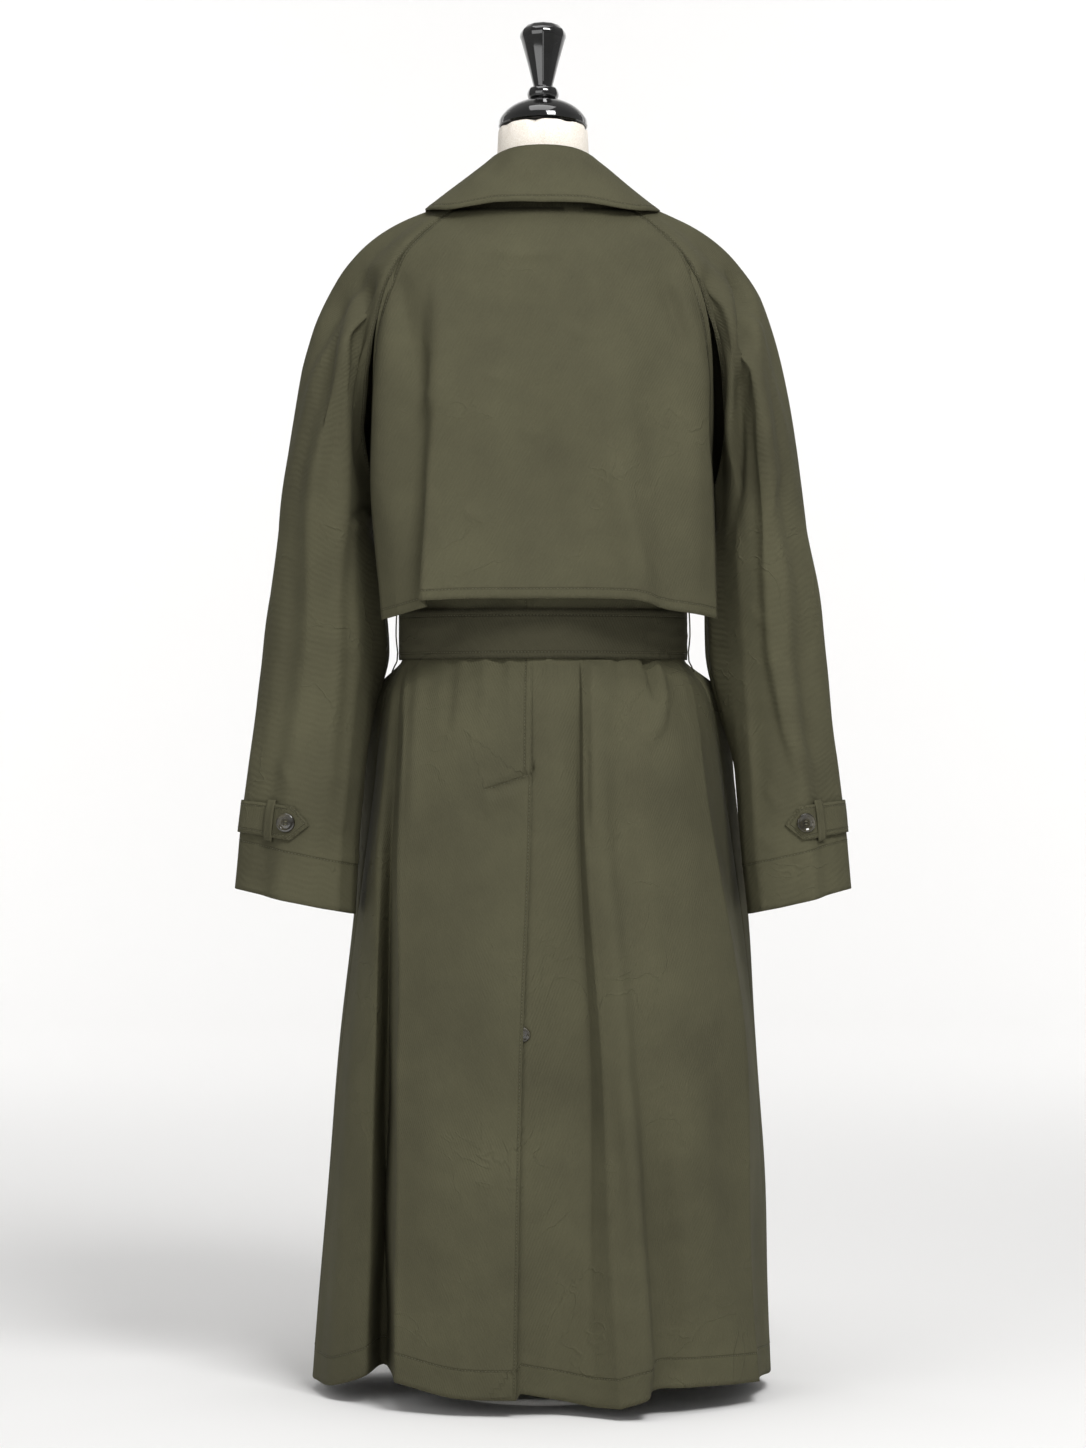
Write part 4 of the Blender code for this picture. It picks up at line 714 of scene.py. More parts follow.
def along_crease(grid, path, wide, lean, start, end):
    """How strongly each point of a grid feels a crease along its path."""
    x, z = grid[..., 0], grid[..., 2]
    best = np.full(x.shape, 1e9)
    walked, share, signed = 0.0, np.zeros(x.shape), np.zeros(x.shape)
    for a, b in zip(path, path[1:]):
        span = math.dist(a, b)
        along_x, along_z = (b[0] - a[0]) / span, (b[1] - a[1]) / span
        t = np.clip((x - a[0]) * along_x + (z - a[1]) * along_z, 0, span)
        off_x, off_z = x - (a[0] + along_x * t), z - (a[1] + along_z * t)
        away = np.hypot(off_x, off_z)
        near = away < best
        best = np.where(near, away, best)
        share = np.where(near, walked + t, share)
        signed = np.where(near, off_x * -along_z + off_z * along_x, signed)
        walked += span
    share /= walked
    bump = np.exp(-((best / np.where(signed < 0, wide * (1 - lean), wide * (1 + lean))) ** 2))
    if start:
        bump *= smooth_step(0, start, share)
    if end:
        bump *= smooth_step(0, end, 1 - share)
    return bump


def creased(grid, table, axis=(0.0, 0.0)):
    """The grid with a table of creases pressed into it."""
    field = np.zeros(grid.shape[:2])
    for row in table:
        crease = dict(zip(CREASE_COLUMNS, row))
        field += crease.pop("depth") * along_crease(grid, **crease)
    return lifted(grid, field, axis)


def rippled(grid, seed, size, depth, axis=(0.0, 0.0), belted=False):
    """Slow unevenness, so that no stretch of cloth is ruled flat; size is the length of its waves. It dies
    out towards the seams, and cloth that the belt holds stays flat under it."""
    rng = random.Random(seed)
    field = np.zeros(grid.shape[:2])
    for _ in range(RIPPLE_WAVES):
        wave = size * rng.uniform(0.6, 1.6)
        turn = rng.uniform(0, math.tau)
        across_wave, down_wave = math.cos(turn) / wave, math.sin(turn) * 0.55 / wave
        phase = grid[..., 0] * across_wave + grid[..., 1] * across_wave * 0.7 + grid[..., 2] * down_wave
        field += np.sin(math.tau * phase + rng.uniform(0, math.tau))
    for side in ("first", "last", "top"):
        field *= smooth_step(0, size / 4, from_edge(grid, side))
    if belted:
        middle, half = (BELT_TOP + BELT_BOTTOM) / 2, (BELT_TOP - BELT_BOTTOM) / 2
        near, far = (half + distance for distance in BELT_CALM)
        field *= smooth_step(near, far, np.abs(grid[..., 2] - middle))
    return lifted(grid, depth * field / RIPPLE_WAVES**0.5, axis)


# ---------------------------------------------------------------- edges, seams and topstitching

PUCKER_REACH = 9.0  # how far from the stitches the cloth puckers
NO_SEAM = 60.0  # the seam attribute where no stitched line is near
SEAM_INSET = 7.0  # a flat seam's stitches lie this far from the seam
EDGE_INSET = 6.0  # and an edge's this far from the edge

def from_edge(grid, side):
    """How far each point of the grid lies from one of its edges: first or last column, top row or hem."""
    axis = 1 if side in ("first", "last") else 0
    spans = np.linalg.norm(np.diff(grid, axis=axis), axis=2)
    if side in ("last", "hem"):
        spans = np.flip(spans, axis)
    reach = np.zeros(grid.shape[:2])
    if axis:
        reach[:, 1:] = np.cumsum(spans, axis=1)
    else:
        reach[1:] = np.cumsum(spans, axis=0)
    return np.flip(reach, axis) if side in ("last", "hem") else reach


def rolled_edges(grid, sides, depth=1.1, width=4.0, axis=(0.0, 0.0)):
    """The cloth sinks a little into each seam along these edges."""
    field = sum(np.exp(-((from_edge(grid, side) / width) ** 2)) for side in sides)
    return lifted(grid, -depth * field, axis)


def puckered(grid, lines, seed, axis=(0.0, 0.0), depth=0.35):
    """The cloth ripples slightly along every topstitched line."""
    rng = np.random.default_rng(seed)
    field = np.zeros(grid.shape[:2])
    for side, inset, low, high in lines:
        along = 0 if side in ("first", "last") else 1
        noise = rng.normal(size=grid.shape[along])
        noise = np.convolve(noise, (0.25, 0.5, 0.25), mode="same")
        noise = noise[:, None] if along == 0 else noise[None, :]
        near = np.exp(-((np.abs(from_edge(grid, side) - inset) / PUCKER_REACH) ** 2))
        level = grid[..., 2]
        field += noise * near * ((level >= low) & (level <= high))
    return lifted(grid, depth * field, axis)


def seam_offset(grid, lines, path=()):
    """Signed distance to the nearest topstitched line, along an edge or along a path of its own (x, z).
    The cloth's material reads it for the groove's bump, its painted shade and the puckers beside it."""
    nearest = np.full(grid.shape[:2], NO_SEAM)
    for side, inset, low, high in lines:
        offset = from_edge(grid, side) - inset
        level = grid[..., 2]
        offset = np.where((level >= low - FINE) & (level <= high + FINE), offset, NO_SEAM)
        nearest = np.where(np.abs(offset) < np.abs(nearest), offset, nearest)
    for a, b in zip(path, path[1:]):
        span = math.dist(a, b)
        along_x, along_z = (b[0] - a[0]) / span, (b[1] - a[1]) / span
        from_x, from_z = grid[..., 0] - a[0], grid[..., 2] - a[1]
        t = from_x * along_x + from_z * along_z
        offset = np.where((t > -2) & (t < span), from_z * along_x - from_x * along_z, NO_SEAM)
        nearest = np.where(np.abs(offset) < np.abs(nearest), offset, nearest)
    return nearest


def line_on(grid, side, inset, low, high, axis=(0.0, 0.0)):
    """The points and normals of a line that keeps its distance from one edge of the grid."""
    normals = normals_of(grid, axis)
    reach = from_edge(grid, side)
    if side in ("top", "hem"):
        grid, normals, reach = grid.swapaxes(0, 1), normals.swapaxes(0, 1), reach.T
    if side in ("last", "hem"):
        grid, normals, reach = grid[:, ::-1], normals[:, ::-1], reach[:, ::-1]
    points, ways = [], []
    for row, normal, walk in zip(grid, normals, reach):
        if walk[-1] <= inset:
            continue
        point = np.array([np.interp(inset, walk, row[:, k]) for k in range(3)])
        if low <= point[2] <= high:
            points.append(point)
            ways.append(np.array([np.interp(inset, walk, normal[:, k]) for k in range(3)]))
    return np.array(points), np.array(ways)


STITCH_PITCH = 3.3
STITCH_LENGTH = 2.5
STITCH_WIDE = 0.62
STITCH_HIGH = 0.42
STITCH_LIFT = 0.12  # the thread's middle lies this far above the cloth
EVERYWHERE = (-10.0, 2000.0)  # heights between which a line runs the whole length of its edge


def stitch_template():
    """One stitch: a small rounded grain of thread, modelled once."""
    bpy.ops.object.select_all(action="DESELECT")
    bpy.ops.mesh.primitive_ico_sphere_add(subdivisions=1, radius=0.5)
    grain = bpy.context.object
    bpy.ops.object.mode_set(mode="EDIT")
    bpy.ops.mesh.select_all(action="SELECT")
    bpy.ops.transform.resize(value=(STITCH_LENGTH, STITCH_WIDE, STITCH_HIGH))
    bpy.ops.object.mode_set(mode="OBJECT")
    verts = np.array([tuple(v.co) for v in grain.data.vertices])
    faces = np.array([tuple(p.vertices) for p in grain.data.polygons])
    mesh = grain.data
    bpy.data.objects.remove(grain)
    bpy.data.meshes.remove(mesh)
    return verts, faces


def sew(name, lines, finish="thread"):
    """Copies of the stitch along every line of one piece of cloth, joined into one mesh."""
    grain, grain_faces = stitch_template()
    verts, faces = [], []
    for points, normals in lines:
        if len(points) < 2:
            continue
        spans = np.linalg.norm(np.diff(points, axis=0), axis=1)
        walk = np.concatenate([[0], np.cumsum(spans)])
        places = np.arange(STITCH_PITCH, walk[-1] - STITCH_PITCH / 2, STITCH_PITCH)
        if not len(places):
            continue
        here, ahead, out = (
            np.stack([np.interp(places + step, walk, source[:, k]) for k in range(3)], axis=1)
            for step, source in ((0, points), (STITCH_LENGTH / 2, points), (0, normals))
        )
        along = ahead - here
        along /= np.maximum(np.linalg.norm(along, axis=1, keepdims=True), 1e-9)
        out -= along * (out * along).sum(axis=1, keepdims=True)
        out /= np.maximum(np.linalg.norm(out, axis=1, keepdims=True), 1e-9)
        beside = np.cross(out, along)
        base = here + out * STITCH_LIFT
        made = (
            base[:, None, :] + grain[None, :, :1] * along[:, None, :]
            + grain[None, :, 1:2] * beside[:, None, :] + grain[None, :, 2:] * out[:, None, :]
        )
        offset = sum(len(v) for v in verts)
        starts = offset + np.arange(len(places))[:, None, None] * len(grain)
        faces.append((grain_faces[None] + starts).reshape(-1, 3))
        verts.append(made.reshape(-1, 3))
    if not verts:
        return None
    return plain_piece(name, np.concatenate(verts), np.concatenate(faces), [], MATERIALS[finish])


# ---------------------------------------------------------------- meshes


def plain_piece(name, verts, faces, nodes, material):
    """A mesh from points in millimetres, riding with the coat."""
    mesh = bpy.data.meshes.new(name)
    mesh.from_pydata((np.asarray(verts) * MM).tolist(), [], np.asarray(faces).tolist())
    mesh.update()
    mesh.shade_smooth()
    mesh.materials.append(material)
    piece = bpy.data.objects.new(name, mesh)
    bpy.context.scene.collection.objects.link(piece)
    belongs(piece, nodes)
    return piece


def belongs(piece, nodes):
    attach(piece, "root")
    if nodes:
        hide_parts(*nodes)


def cloth_piece(name, grid, nodes, finish="gabardine", axis=(0.0, 0.0), thick=CLOTH, lines=(), path=()):
    """A wall of cloth. Its UV map runs in metres across and down; its seam attribute is in mm."""
    rows, columns = grid.shape[:2]
    index = np.arange(rows * columns).reshape(rows, columns)
    corners = (index[:-1, :-1], index[1:, :-1], index[1:, 1:], index[:-1, 1:])
    faces = np.stack(corners, axis=2).reshape(-1, 4)
    facing = np.cross(grid[1:, :-1] - grid[:-1, 1:], grid[1:, 1:] - grid[:-1, :-1])
    if (facing * normals_of(grid, axis)[:-1, :-1]).sum() < 0:
        faces = faces[:, ::-1]
    mesh = bpy.data.meshes.new(name)
    mesh.from_pydata((grid.reshape(-1, 3) * MM).tolist(), [], faces.tolist())
    mesh.update()
    across_mm, down_mm = from_edge(grid, "first"), from_edge(grid, "top")
    across_mm = across_mm - across_mm[:, columns // 2 : columns // 2 + 1]
    flat = np.stack([across_mm.reshape(-1), -down_mm.reshape(-1)], axis=1) * MM
    used = np.empty(len(mesh.loops), dtype=int)
    mesh.loops.foreach_get("vertex_index", used)
    mesh.uv_layers.new(name="cloth").data.foreach_set("uv", flat[used].reshape(-1))
    seam = mesh.attributes.new("seam", "FLOAT", "POINT")
    seam.data.foreach_set("value", seam_offset(grid, lines, path).reshape(-1))
    mesh.shade_smooth()
    mesh.materials.append(MATERIALS[finish])
    piece = bpy.data.objects.new(name, mesh)
    bpy.context.scene.collection.objects.link(piece)
    wall = piece.modifiers.new("wall", "SOLIDIFY")
    wall.thickness = thick * MM
    wall.offset = -1
    wall.use_quality_normals = True
    belongs(piece, nodes)
    if lines:
        sew(name.replace("_cloth", "_stitching"), [line_on(grid, *line, axis) for line in lines])
    return piece


def declare(grid):
    """Works out the width and length of the smallest rectangle round the piece's cut, and keeps neither."""
    width = float(from_edge(grid, "first")[:, -1].max()) * MM
    length = float(from_edge(grid, "top")[-1].max()) * MM


def only(obj):
    """Makes one object the selected and active one."""
    bpy.ops.object.select_all(action="DESELECT")
    obj.select_set(True)
    bpy.context.view_layer.objects.active = obj


def turned_piece(name, profile, around):
    """A turned solid: a disc whose top face is extruded and scaled through the rings of its profile."""
    (low_radius, low), (radius, high) = profile[:2]
    bpy.ops.object.select_all(action="DESELECT")
    bpy.ops.mesh.primitive_cylinder_add(
        vertices=around, radius=low_radius * MM, depth=(high - low) * MM,
        location=(0, 0, (low + high) / 2 * MM),
    )
    obj = bpy.context.object
    obj.name = name
    bpy.ops.object.transform_apply(location=True)
    bpy.ops.object.mode_set(mode="EDIT")
    bpy.ops.mesh.select_mode(type="FACE")
    bpy.ops.mesh.select_all(action="DESELECT")
    bpy.ops.object.mode_set(mode="OBJECT")
    top = max(obj.data.polygons, key=lambda face: face.center.z)
    top.select = True
    bpy.ops.object.mode_set(mode="EDIT")
    centre = (0, 0, high * MM)
    bpy.ops.transform.resize(value=(radius / low_radius, radius / low_radius, 1), center_override=centre)
    for (before, start), (after, end) in zip(profile[1:], profile[2:]):
        bpy.ops.mesh.extrude_region_move(TRANSFORM_OT_translate={"value": (0, 0, (end - start) * MM)})
        bpy.ops.transform.resize(value=(after / before, after / before, 1), center_override=(0, 0, end * MM))
    bpy.ops.object.mode_set(mode="OBJECT")
    return obj


def apply_modifier(obj, kind, **settings):
    modifier = obj.modifiers.new(kind.lower(), kind)
    for key, value in settings.items():
        setattr(modifier, key, value)
    only(obj)
    bpy.ops.object.modifier_apply(modifier=modifier.name)


def smooth_sides(obj, degrees):
    only(obj)
    bpy.ops.object.shade_smooth_by_angle(angle=math.radians(degrees))


MERGED = 0.00002  # corners closer than this are one, in metres


def copy_of_node(node, name):
    """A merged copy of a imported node's mesh."""
    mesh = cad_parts[node].data.copy()
    mesh.materials.clear()
    obj = bpy.data.objects.new(name, mesh)
    bpy.context.scene.collection.objects.link(obj)
    only(obj)
    bpy.ops.object.mode_set(mode="EDIT")
    bpy.ops.mesh.select_all(action="SELECT")
    bpy.ops.mesh.remove_doubles(threshold=MERGED)
    bpy.ops.mesh.tris_convert_to_quads()
    bpy.ops.object.mode_set(mode="OBJECT")
    return obj


# ---------------------------------------------------------------- materials

MATERIALS = {}


def linear(code):
    """sRGB hex to the linear colour that shaders take."""
    values = [int(code[i : i + 2], 16) / 255 for i in (1, 3, 5)]
    return tuple(v / 12.92 if v <= 0.04045 else ((v + 0.055) / 1.055) ** 2.4 for v in values)


def add(tree, kind, settings=None, links=None):
    """Adds a shader node with its settings and its incoming links."""
    node = tree.nodes.new(kind)
    for key, value in (settings or {}).items():
        if isinstance(key, int) or key in node.inputs:
            node.inputs[key].default_value = value
        else:
            setattr(node, key, value)
    for key, source in (links or {}).items():
        tree.links.new(source, node.inputs[key])
    return node


def new_material(name, roughness=0.5, specular=0.5):
    material = bpy.data.materials.new(name)
    material.use_nodes = True
    tree = material.node_tree
    tree.nodes.clear()
    shader = add(tree, "ShaderNodeBsdfPrincipled", {"Roughness": roughness, "Specular IOR Level": specular})
    add(tree, "ShaderNodeOutputMaterial", links={"Surface": shader.outputs[0]})
    return material, tree, shader


def two_tones(tree, factor, dark, light, low, high):
    """A colour that goes from one sRGB tone to another between two values of a pattern."""
    ramp = add(tree, "ShaderNodeValToRGB", links={"Fac": factor})
    for stop, place, code in zip(ramp.color_ramp.elements, (low, high), (dark, light)):
        stop.position = place
        stop.color = (*linear(code), 1)
    return ramp.outputs[0]


def gabardine(name, light, dark, roughness):
    """Woven cotton gabardine: a tight steep twill, matt, with uneven dye and soft handling marks; along its
    seams it sinks under the thread, is painted darker there as painted shade, and puckers beside it."""
    material, tree, shader = new_material(name, roughness, 0.12)
    cloth = add(tree, "ShaderNodeUVMap", {"uv_map": "cloth"}).outputs[0]
    place = add(tree, "ShaderNodeTexCoord").outputs["Object"]
    seam = add(tree, "ShaderNodeAttribute", {"attribute_name": "seam"}).outputs["Fac"]
    # uneven dye, in patches 60 to 200 mm across
    patches = add(
        tree, "ShaderNodeTexNoise", {"Scale": 8.0, "Detail": 4.0, "Roughness": 0.6}, {"Vector": place}
    )
    # slubs in the yarn, about 3 by 1 mm: drawn coarser than the thread so that they show
    yarn = add(tree, "ShaderNodeMapping", {"Scale": (950.0, 330.0, 1.0)}, {"Vector": cloth})
    slubs = add(
        tree, "ShaderNodeTexNoise", {"Scale": 1.0, "Detail": 3.0, "Roughness": 0.6},
        {"Vector": yarn.outputs[0]},
    )
    tone = add(
        tree, "ShaderNodeMath", {"operation": "MULTIPLY_ADD", 1: 0.40},
        {0: slubs.outputs["Fac"], 2: patches.outputs["Fac"]},
    )
    colour = two_tones(tree, tone.outputs[0], dark, light, 0.50, 0.90)
    # the stitched line is painted darker, 3 mm wide: painted shade in its groove
    offset = add(tree, "ShaderNodeMath", {"operation": "ABSOLUTE"}, {0: seam})
    groove = add(
        tree, "ShaderNodeMapRange", {"interpolation_type": "SMOOTHSTEP", 1: 0.3, 2: 1.9, 3: 1.0, 4: 0.0},
        {0: offset.outputs[0]},
    )
    painted_seam_shade = add(tree, "ShaderNodeMix", {"data_type": "RGBA", "blend_type": "MULTIPLY"})
    tree.links.new(groove.outputs[0], painted_seam_shade.inputs[0])
    tree.links.new(colour, painted_seam_shade.inputs[6])
    painted_seam_shade.inputs[7].default_value = (0.80, 0.80, 0.78, 1)
    tree.links.new(painted_seam_shade.outputs[2], shader.inputs["Base Color"])
    # twill lines 1.4 mm apart, where the real ones are 0.5 mm
    steep = add(tree, "ShaderNodeMapping", {"Rotation": (0, 0, math.radians(27))}, {"Vector": cloth})
    twill = add(
        tree, "ShaderNodeTexWave", {"Scale": 112.0, "Distortion": 0.7, "Detail": 1.0},
        {"Vector": steep.outputs[0]},
    )
    grain = add(
        tree, "ShaderNodeMath", {"operation": "ADD"}, {0: twill.outputs["Fac"], 1: slubs.outputs["Fac"]}
    )
    weave = add(tree, "ShaderNodeBump", {"Strength": 0.5, "Distance": 0.0004}, {"Height": grain.outputs[0]})
    # handling marks: thin lines where a noise of about 50 mm crosses its middle
    marks = add(
        tree, "ShaderNodeTexNoise", {"Scale": 19.0, "Detail": 3.0, "Distortion": 0.6}, {"Vector": place}
    )
    apart = add(tree, "ShaderNodeMath", {"operation": "SUBTRACT", 1: 0.5}, {0: marks.outputs["Fac"]})
    apart = add(tree, "ShaderNodeMath", {"operation": "ABSOLUTE"}, {0: apart.outputs[0]})
    lines = add(
        tree, "ShaderNodeMapRange", {"interpolation_type": "SMOOTHSTEP", 1: 0.0, 2: 0.022, 3: 1.0, 4: 0.0},
        {0: apart.outputs[0]},
    )
    where = add(tree, "ShaderNodeMapRange", {1: 0.50, 2: 0.68, 3: 0.0, 4: 1.0}, {0: patches.outputs["Fac"]})
    lines = add(tree, "ShaderNodeMath", {"operation": "MULTIPLY"}, {0: lines.outputs[0], 1: where.outputs[0]})
    handled = add(
        tree, "ShaderNodeBump", {"Strength": 0.6, "Distance": 0.0012},
        {"Height": lines.outputs[0], "Normal": weave.outputs[0]},
    )
    # soft rumpling, 20 to 40 mm across
    rumple = add(
        tree, "ShaderNodeTexNoise", {"Scale": 34.0, "Detail": 2.5, "Roughness": 0.5}, {"Vector": place}
    )
    rumpled = add(
        tree, "ShaderNodeBump", {"Strength": 0.5, "Distance": 0.0035},
        {"Height": rumple.outputs["Fac"], "Normal": handled.outputs[0]},
    )
    # puckers 6 mm apart beside each stitched line, and the line's own groove
    beside = add(
        tree, "ShaderNodeMapRange", {"interpolation_type": "SMOOTHSTEP", 1: 1.0, 2: 11.0, 3: 1.0, 4: 0.0},
        {0: offset.outputs[0]},
    )
    pucker = add(tree, "ShaderNodeTexNoise", {"Scale": 165.0, "Detail": 1.0}, {"Vector": place})
    pucker = add(
        tree, "ShaderNodeMath", {"operation": "MULTIPLY"}, {0: pucker.outputs["Fac"], 1: beside.outputs[0]}
    )
    sunk = add(
        tree, "ShaderNodeMath", {"operation": "SUBTRACT"}, {0: pucker.outputs[0], 1: groove.outputs[0]}
    )
    sewn = add(
        tree, "ShaderNodeBump", {"Strength": 0.55, "Distance": 0.0009},
        {"Height": sunk.outputs[0], "Normal": rumpled.outputs[0]},
    )
    tree.links.new(sewn.outputs[0], shader.inputs["Normal"])
    return material


def grained(name, light, dark, roughness, size, depth, metallic=0.0, coat=0.0, sheen=0.0, specular=0.5):
    """A finish with a fine grain of its own; size and depth are the grain's, in millimetres."""
    material, tree, shader = new_material(name, roughness, specular)
    place = add(tree, "ShaderNodeTexCoord").outputs["Object"]
    noise = add(tree, "ShaderNodeTexNoise", {"Scale": 1000.0 / size, "Detail": 3.0}, {"Vector": place})
    noise = noise.outputs["Fac"]
    tree.links.new(two_tones(tree, noise, dark, light, 0.35, 0.68), shader.inputs["Base Color"])
    bump = add(tree, "ShaderNodeBump", {"Strength": 0.4, "Distance": depth * MM}, {"Height": noise})
    tree.links.new(bump.outputs[0], shader.inputs["Normal"])
    for socket, value in (
        ("Metallic", metallic), ("Coat Weight", coat), ("Coat Roughness", 0.05), ("Sheen Weight", sheen),
    ):
        shader.inputs[socket].default_value = value
    return material


def make_materials(colours):
    MATERIALS["gabardine"] = gabardine("cotton_gabardine", colours.cloth, colours.cloth_dark, 0.86)
    # the belt and its loops are the same gabardine, painted darker all over as painted shade from the storm
    # flap
    MATERIALS["gabardine_belt"] = gabardine("cotton_gabardine_belt", colours.belt, colours.belt_painted_shade_dark, 0.88)
    # spun polyester thread: a little shinier and lighter than the cloth
    MATERIALS["thread"] = grained("spun_polyester_thread", colours.thread, colours.cloth_dark, 0.5, 0.8, 0.05)
    # polished horn: dark, cloudy and glossy
    MATERIALS["horn"] = grained("polished_horn", colours.horn, colours.horn_dark, 0.2, 9.0, 0.02, coat=0.5)
    # cotton linen jersey over the form: matt, with a fine irregular weave
    MATERIALS["linen"] = grained(
        "linen_cover", colours.linen, "#e9e0d2", 0.85, 1.1, 0.16, sheen=0.15, specular=0.2
    )
    # sprayed and polished black lacquer on turned wood: a mirror coat over black
    MATERIALS["lacquer"] = grained("black_lacquer", "#0c0c0c", "#050505", 0.08, 40.0, 0.005, coat=1.0)
    # brushed and satin-finished steel tube
    MATERIALS["satin_steel"] = grained("satin_steel", "#cfcfcc", "#b9b9b6", 0.35, 1.5, 0.01, metallic=1.0)
    # white powder coat: a slight orange peel
    MATERIALS["powder_coat"] = grained("powder_coat", "#eceae6", "#e2e0dc", 0.42, 1.6, 0.03)


# ---------------------------------------------------------------- settings


class CoatColours(bpy.types.PropertyGroup):
    """Colours of the cloth and the trimmings, as sRGB hex"""

    cloth: bpy.props.StringProperty(
        name="Cloth", description="Lighter tone of the gabardine", default="#54523f"
    )
    cloth_dark: bpy.props.StringProperty(
        name="Cloth, dark", description="Darker tone of it", default="#484636"
    )
    # the belt's tones are the cloth's own, painted darker as painted shade from the storm flap
    belt: bpy.props.StringProperty(name="Belt", description="Lighter tone of the belt", default="#454334")
    belt_painted_shade_dark: bpy.props.StringProperty(name="Belt, dark", description="Darker tone of it", default="#3a382b")
    thread: bpy.props.StringProperty(name="Thread", description="Topstitching thread", default="#636049")
    horn: bpy.props.StringProperty(name="Horn", description="Buttons and buckle", default="#3f3a26")
    horn_dark: bpy.props.StringProperty(
        name="Horn, dark", description="Clouds in the horn", default="#1b180f"
    )
    linen: bpy.props.StringProperty(name="Linen", description="Cover of the dress form", default="#fdf7ee")


class CoatSizes(bpy.types.PropertyGroup):
    """Sizes of the stitching and the place of the camera"""

    hem_turn: bpy.props.FloatProperty(
        name="Hem", description="Depth of the turned-up hem", default=0.028, unit="LENGTH"
    )
    flap_turn: bpy.props.FloatProperty(
        name="Flap hem", description="Depth of the storm flap's hem", default=0.0095, unit="LENGTH"
    )
    cuff_turn: bpy.props.FloatProperty(
        name="Sleeve hem", description="Depth of the sleeve's hem", default=0.048, unit="LENGTH"
    )
    camera_distance: bpy.props.FloatProperty(
        name="Camera distance", description="From the axis of the form", default=4.2, unit="LENGTH"
    )
    camera_height: bpy.props.FloatProperty(
        name="Camera height", description="Above the floor", default=0.667, unit="LENGTH"
    )
    lens: bpy.props.FloatProperty(name="Lens", description="Focal length", default=104.4, unit="CAMERA")


# ---------------------------------------------------------------- the back

UNDERLAP_COLUMNS = 10
UNDERLAP_SINK = 2.8  # how deep the underlap's spare columns lie in the seam above the vent
VENT_INSET = 2.2  # the vent edge's stitches lie this far from it
FLAP_CLEARANCE = 6.0  # how far the back stays behind the folds of the flap
FLAP_CLEAR_LOW = (985, 1040)  # heights over which that clearance comes in
FLAP_CLEAR_HIGH = (1150, 1172)  # and over which it runs out again
SLANT_POINTS = 14  # steps along the slanted stitching of the vent
SLANT_REACH = 46
SLANT_FALL = 15

def under_vent(left, heights):
    """The inside of the left back, where the underlap and the vent button lie."""
    places = (0, KNEE, 540, VENT_SLANT)
    air = [ease(places, (VENT_AIR, VENT_AIR, LAYER + 0.6, LAYER), h) for h in heights]
    return lifted(left, -(CLOTH + np.array(air)))


def join_underlap(right, under, heights):
    """Adds the underlap to the right back below the vent; above it the extra columns lie in the seam."""
    count = UNDERLAP_COLUMNS
    rows = []
    for i, height in enumerate(heights):
        row = [Vector(p) for p in right[i]]
        if height >= VENT_TOP - 0.1:
            sink = UNDERLAP_SINK * float(smooth_step(VENT_TOP + 6, VENT_TOP, height))
            extra = [row[0].lerp(row[1], k / count) + Vector((0, sink, 0)) for k in range(count)]
        else:
            reach = UNDERLAP * min(1.0, (VENT_TOP - height) / (VENT_TOP - VENT_SLANT))
            cover = [Vector(p) for p in under[i]]
            extra = [along_row(cover, reach * (1 - k / (count - 1))) for k in range(count)]
        rows.append(extra + row[1:])
    return as_grid(rows)


def tucked_under_flap(grid):
    """The back stays clear of the folds of the flap that lies on it."""
    middle = 1 - np.abs(np.linspace(0, 1, grid.shape[1])) ** 5
    level = smooth_step(*FLAP_CLEAR_LOW, grid[..., 2]) * (1 - smooth_step(*FLAP_CLEAR_HIGH, grid[..., 2]))
    return lifted(grid, -FLAP_CLEARANCE * level * middle[None, :])


class COAT_OT_backs(bpy.types.Operator):
    """Makes the two halves of the back, with the vent, its slanted stitching and its underlap"""

    bl_idname = "coat.backs"
    bl_label = "Back"

    def execute(self, context):
        sizes = context.scene.coat_sizes
        hem = ("hem", sizes.hem_turn / MM, *EVERYWHERE)
        heights = heights_between(BODY_HEIGHTS, FINE)
        left = tucked_under_flap(panel_grid(BACK_LEFT_FOLDS, BACK_ROWS, -1, heights))
        right = tucked_under_flap(panel_grid(BACK_RIGHT_FOLDS, BACK_ROWS, 1, heights))
        left = rippled(creased(left, BACK_LEFT_CREASES), 3, 150, 2.0, belted=True)
        right = rippled(creased(right, BACK_RIGHT_CREASES), 4, 150, 2.0, belted=True)
        right = join_underlap(right, under_vent(left, heights), heights)
        left_lines = (
            hem, ("first", SEAM_INSET, VENT_TOP + 2, BELT_TOP + 60),
            ("first", VENT_INSET, 22.0, VENT_SLANT + 8),
        )
        left = puckered(rolled_edges(left, ("last",)), (hem,), 21)
        right = puckered(rolled_edges(right, ("last",)), (hem,), 22)
        slant = ((-8.0, VENT_TOP - 2.0), (-57.0, VENT_SLANT + 1.0))
        for name, grid, lines, path in (("left", left, left_lines, slant), ("right", right, (hem,), ())):
            piece = cloth_piece(f"back_{name}_cloth", grid, [f"back_{name}"], lines=lines, path=path)
            declare(grid)
        sew("vent_stitching", [slanted_line(left, VENT_TOP - 3, SLANT_REACH, SLANT_FALL)])
        return {"FINISHED"}


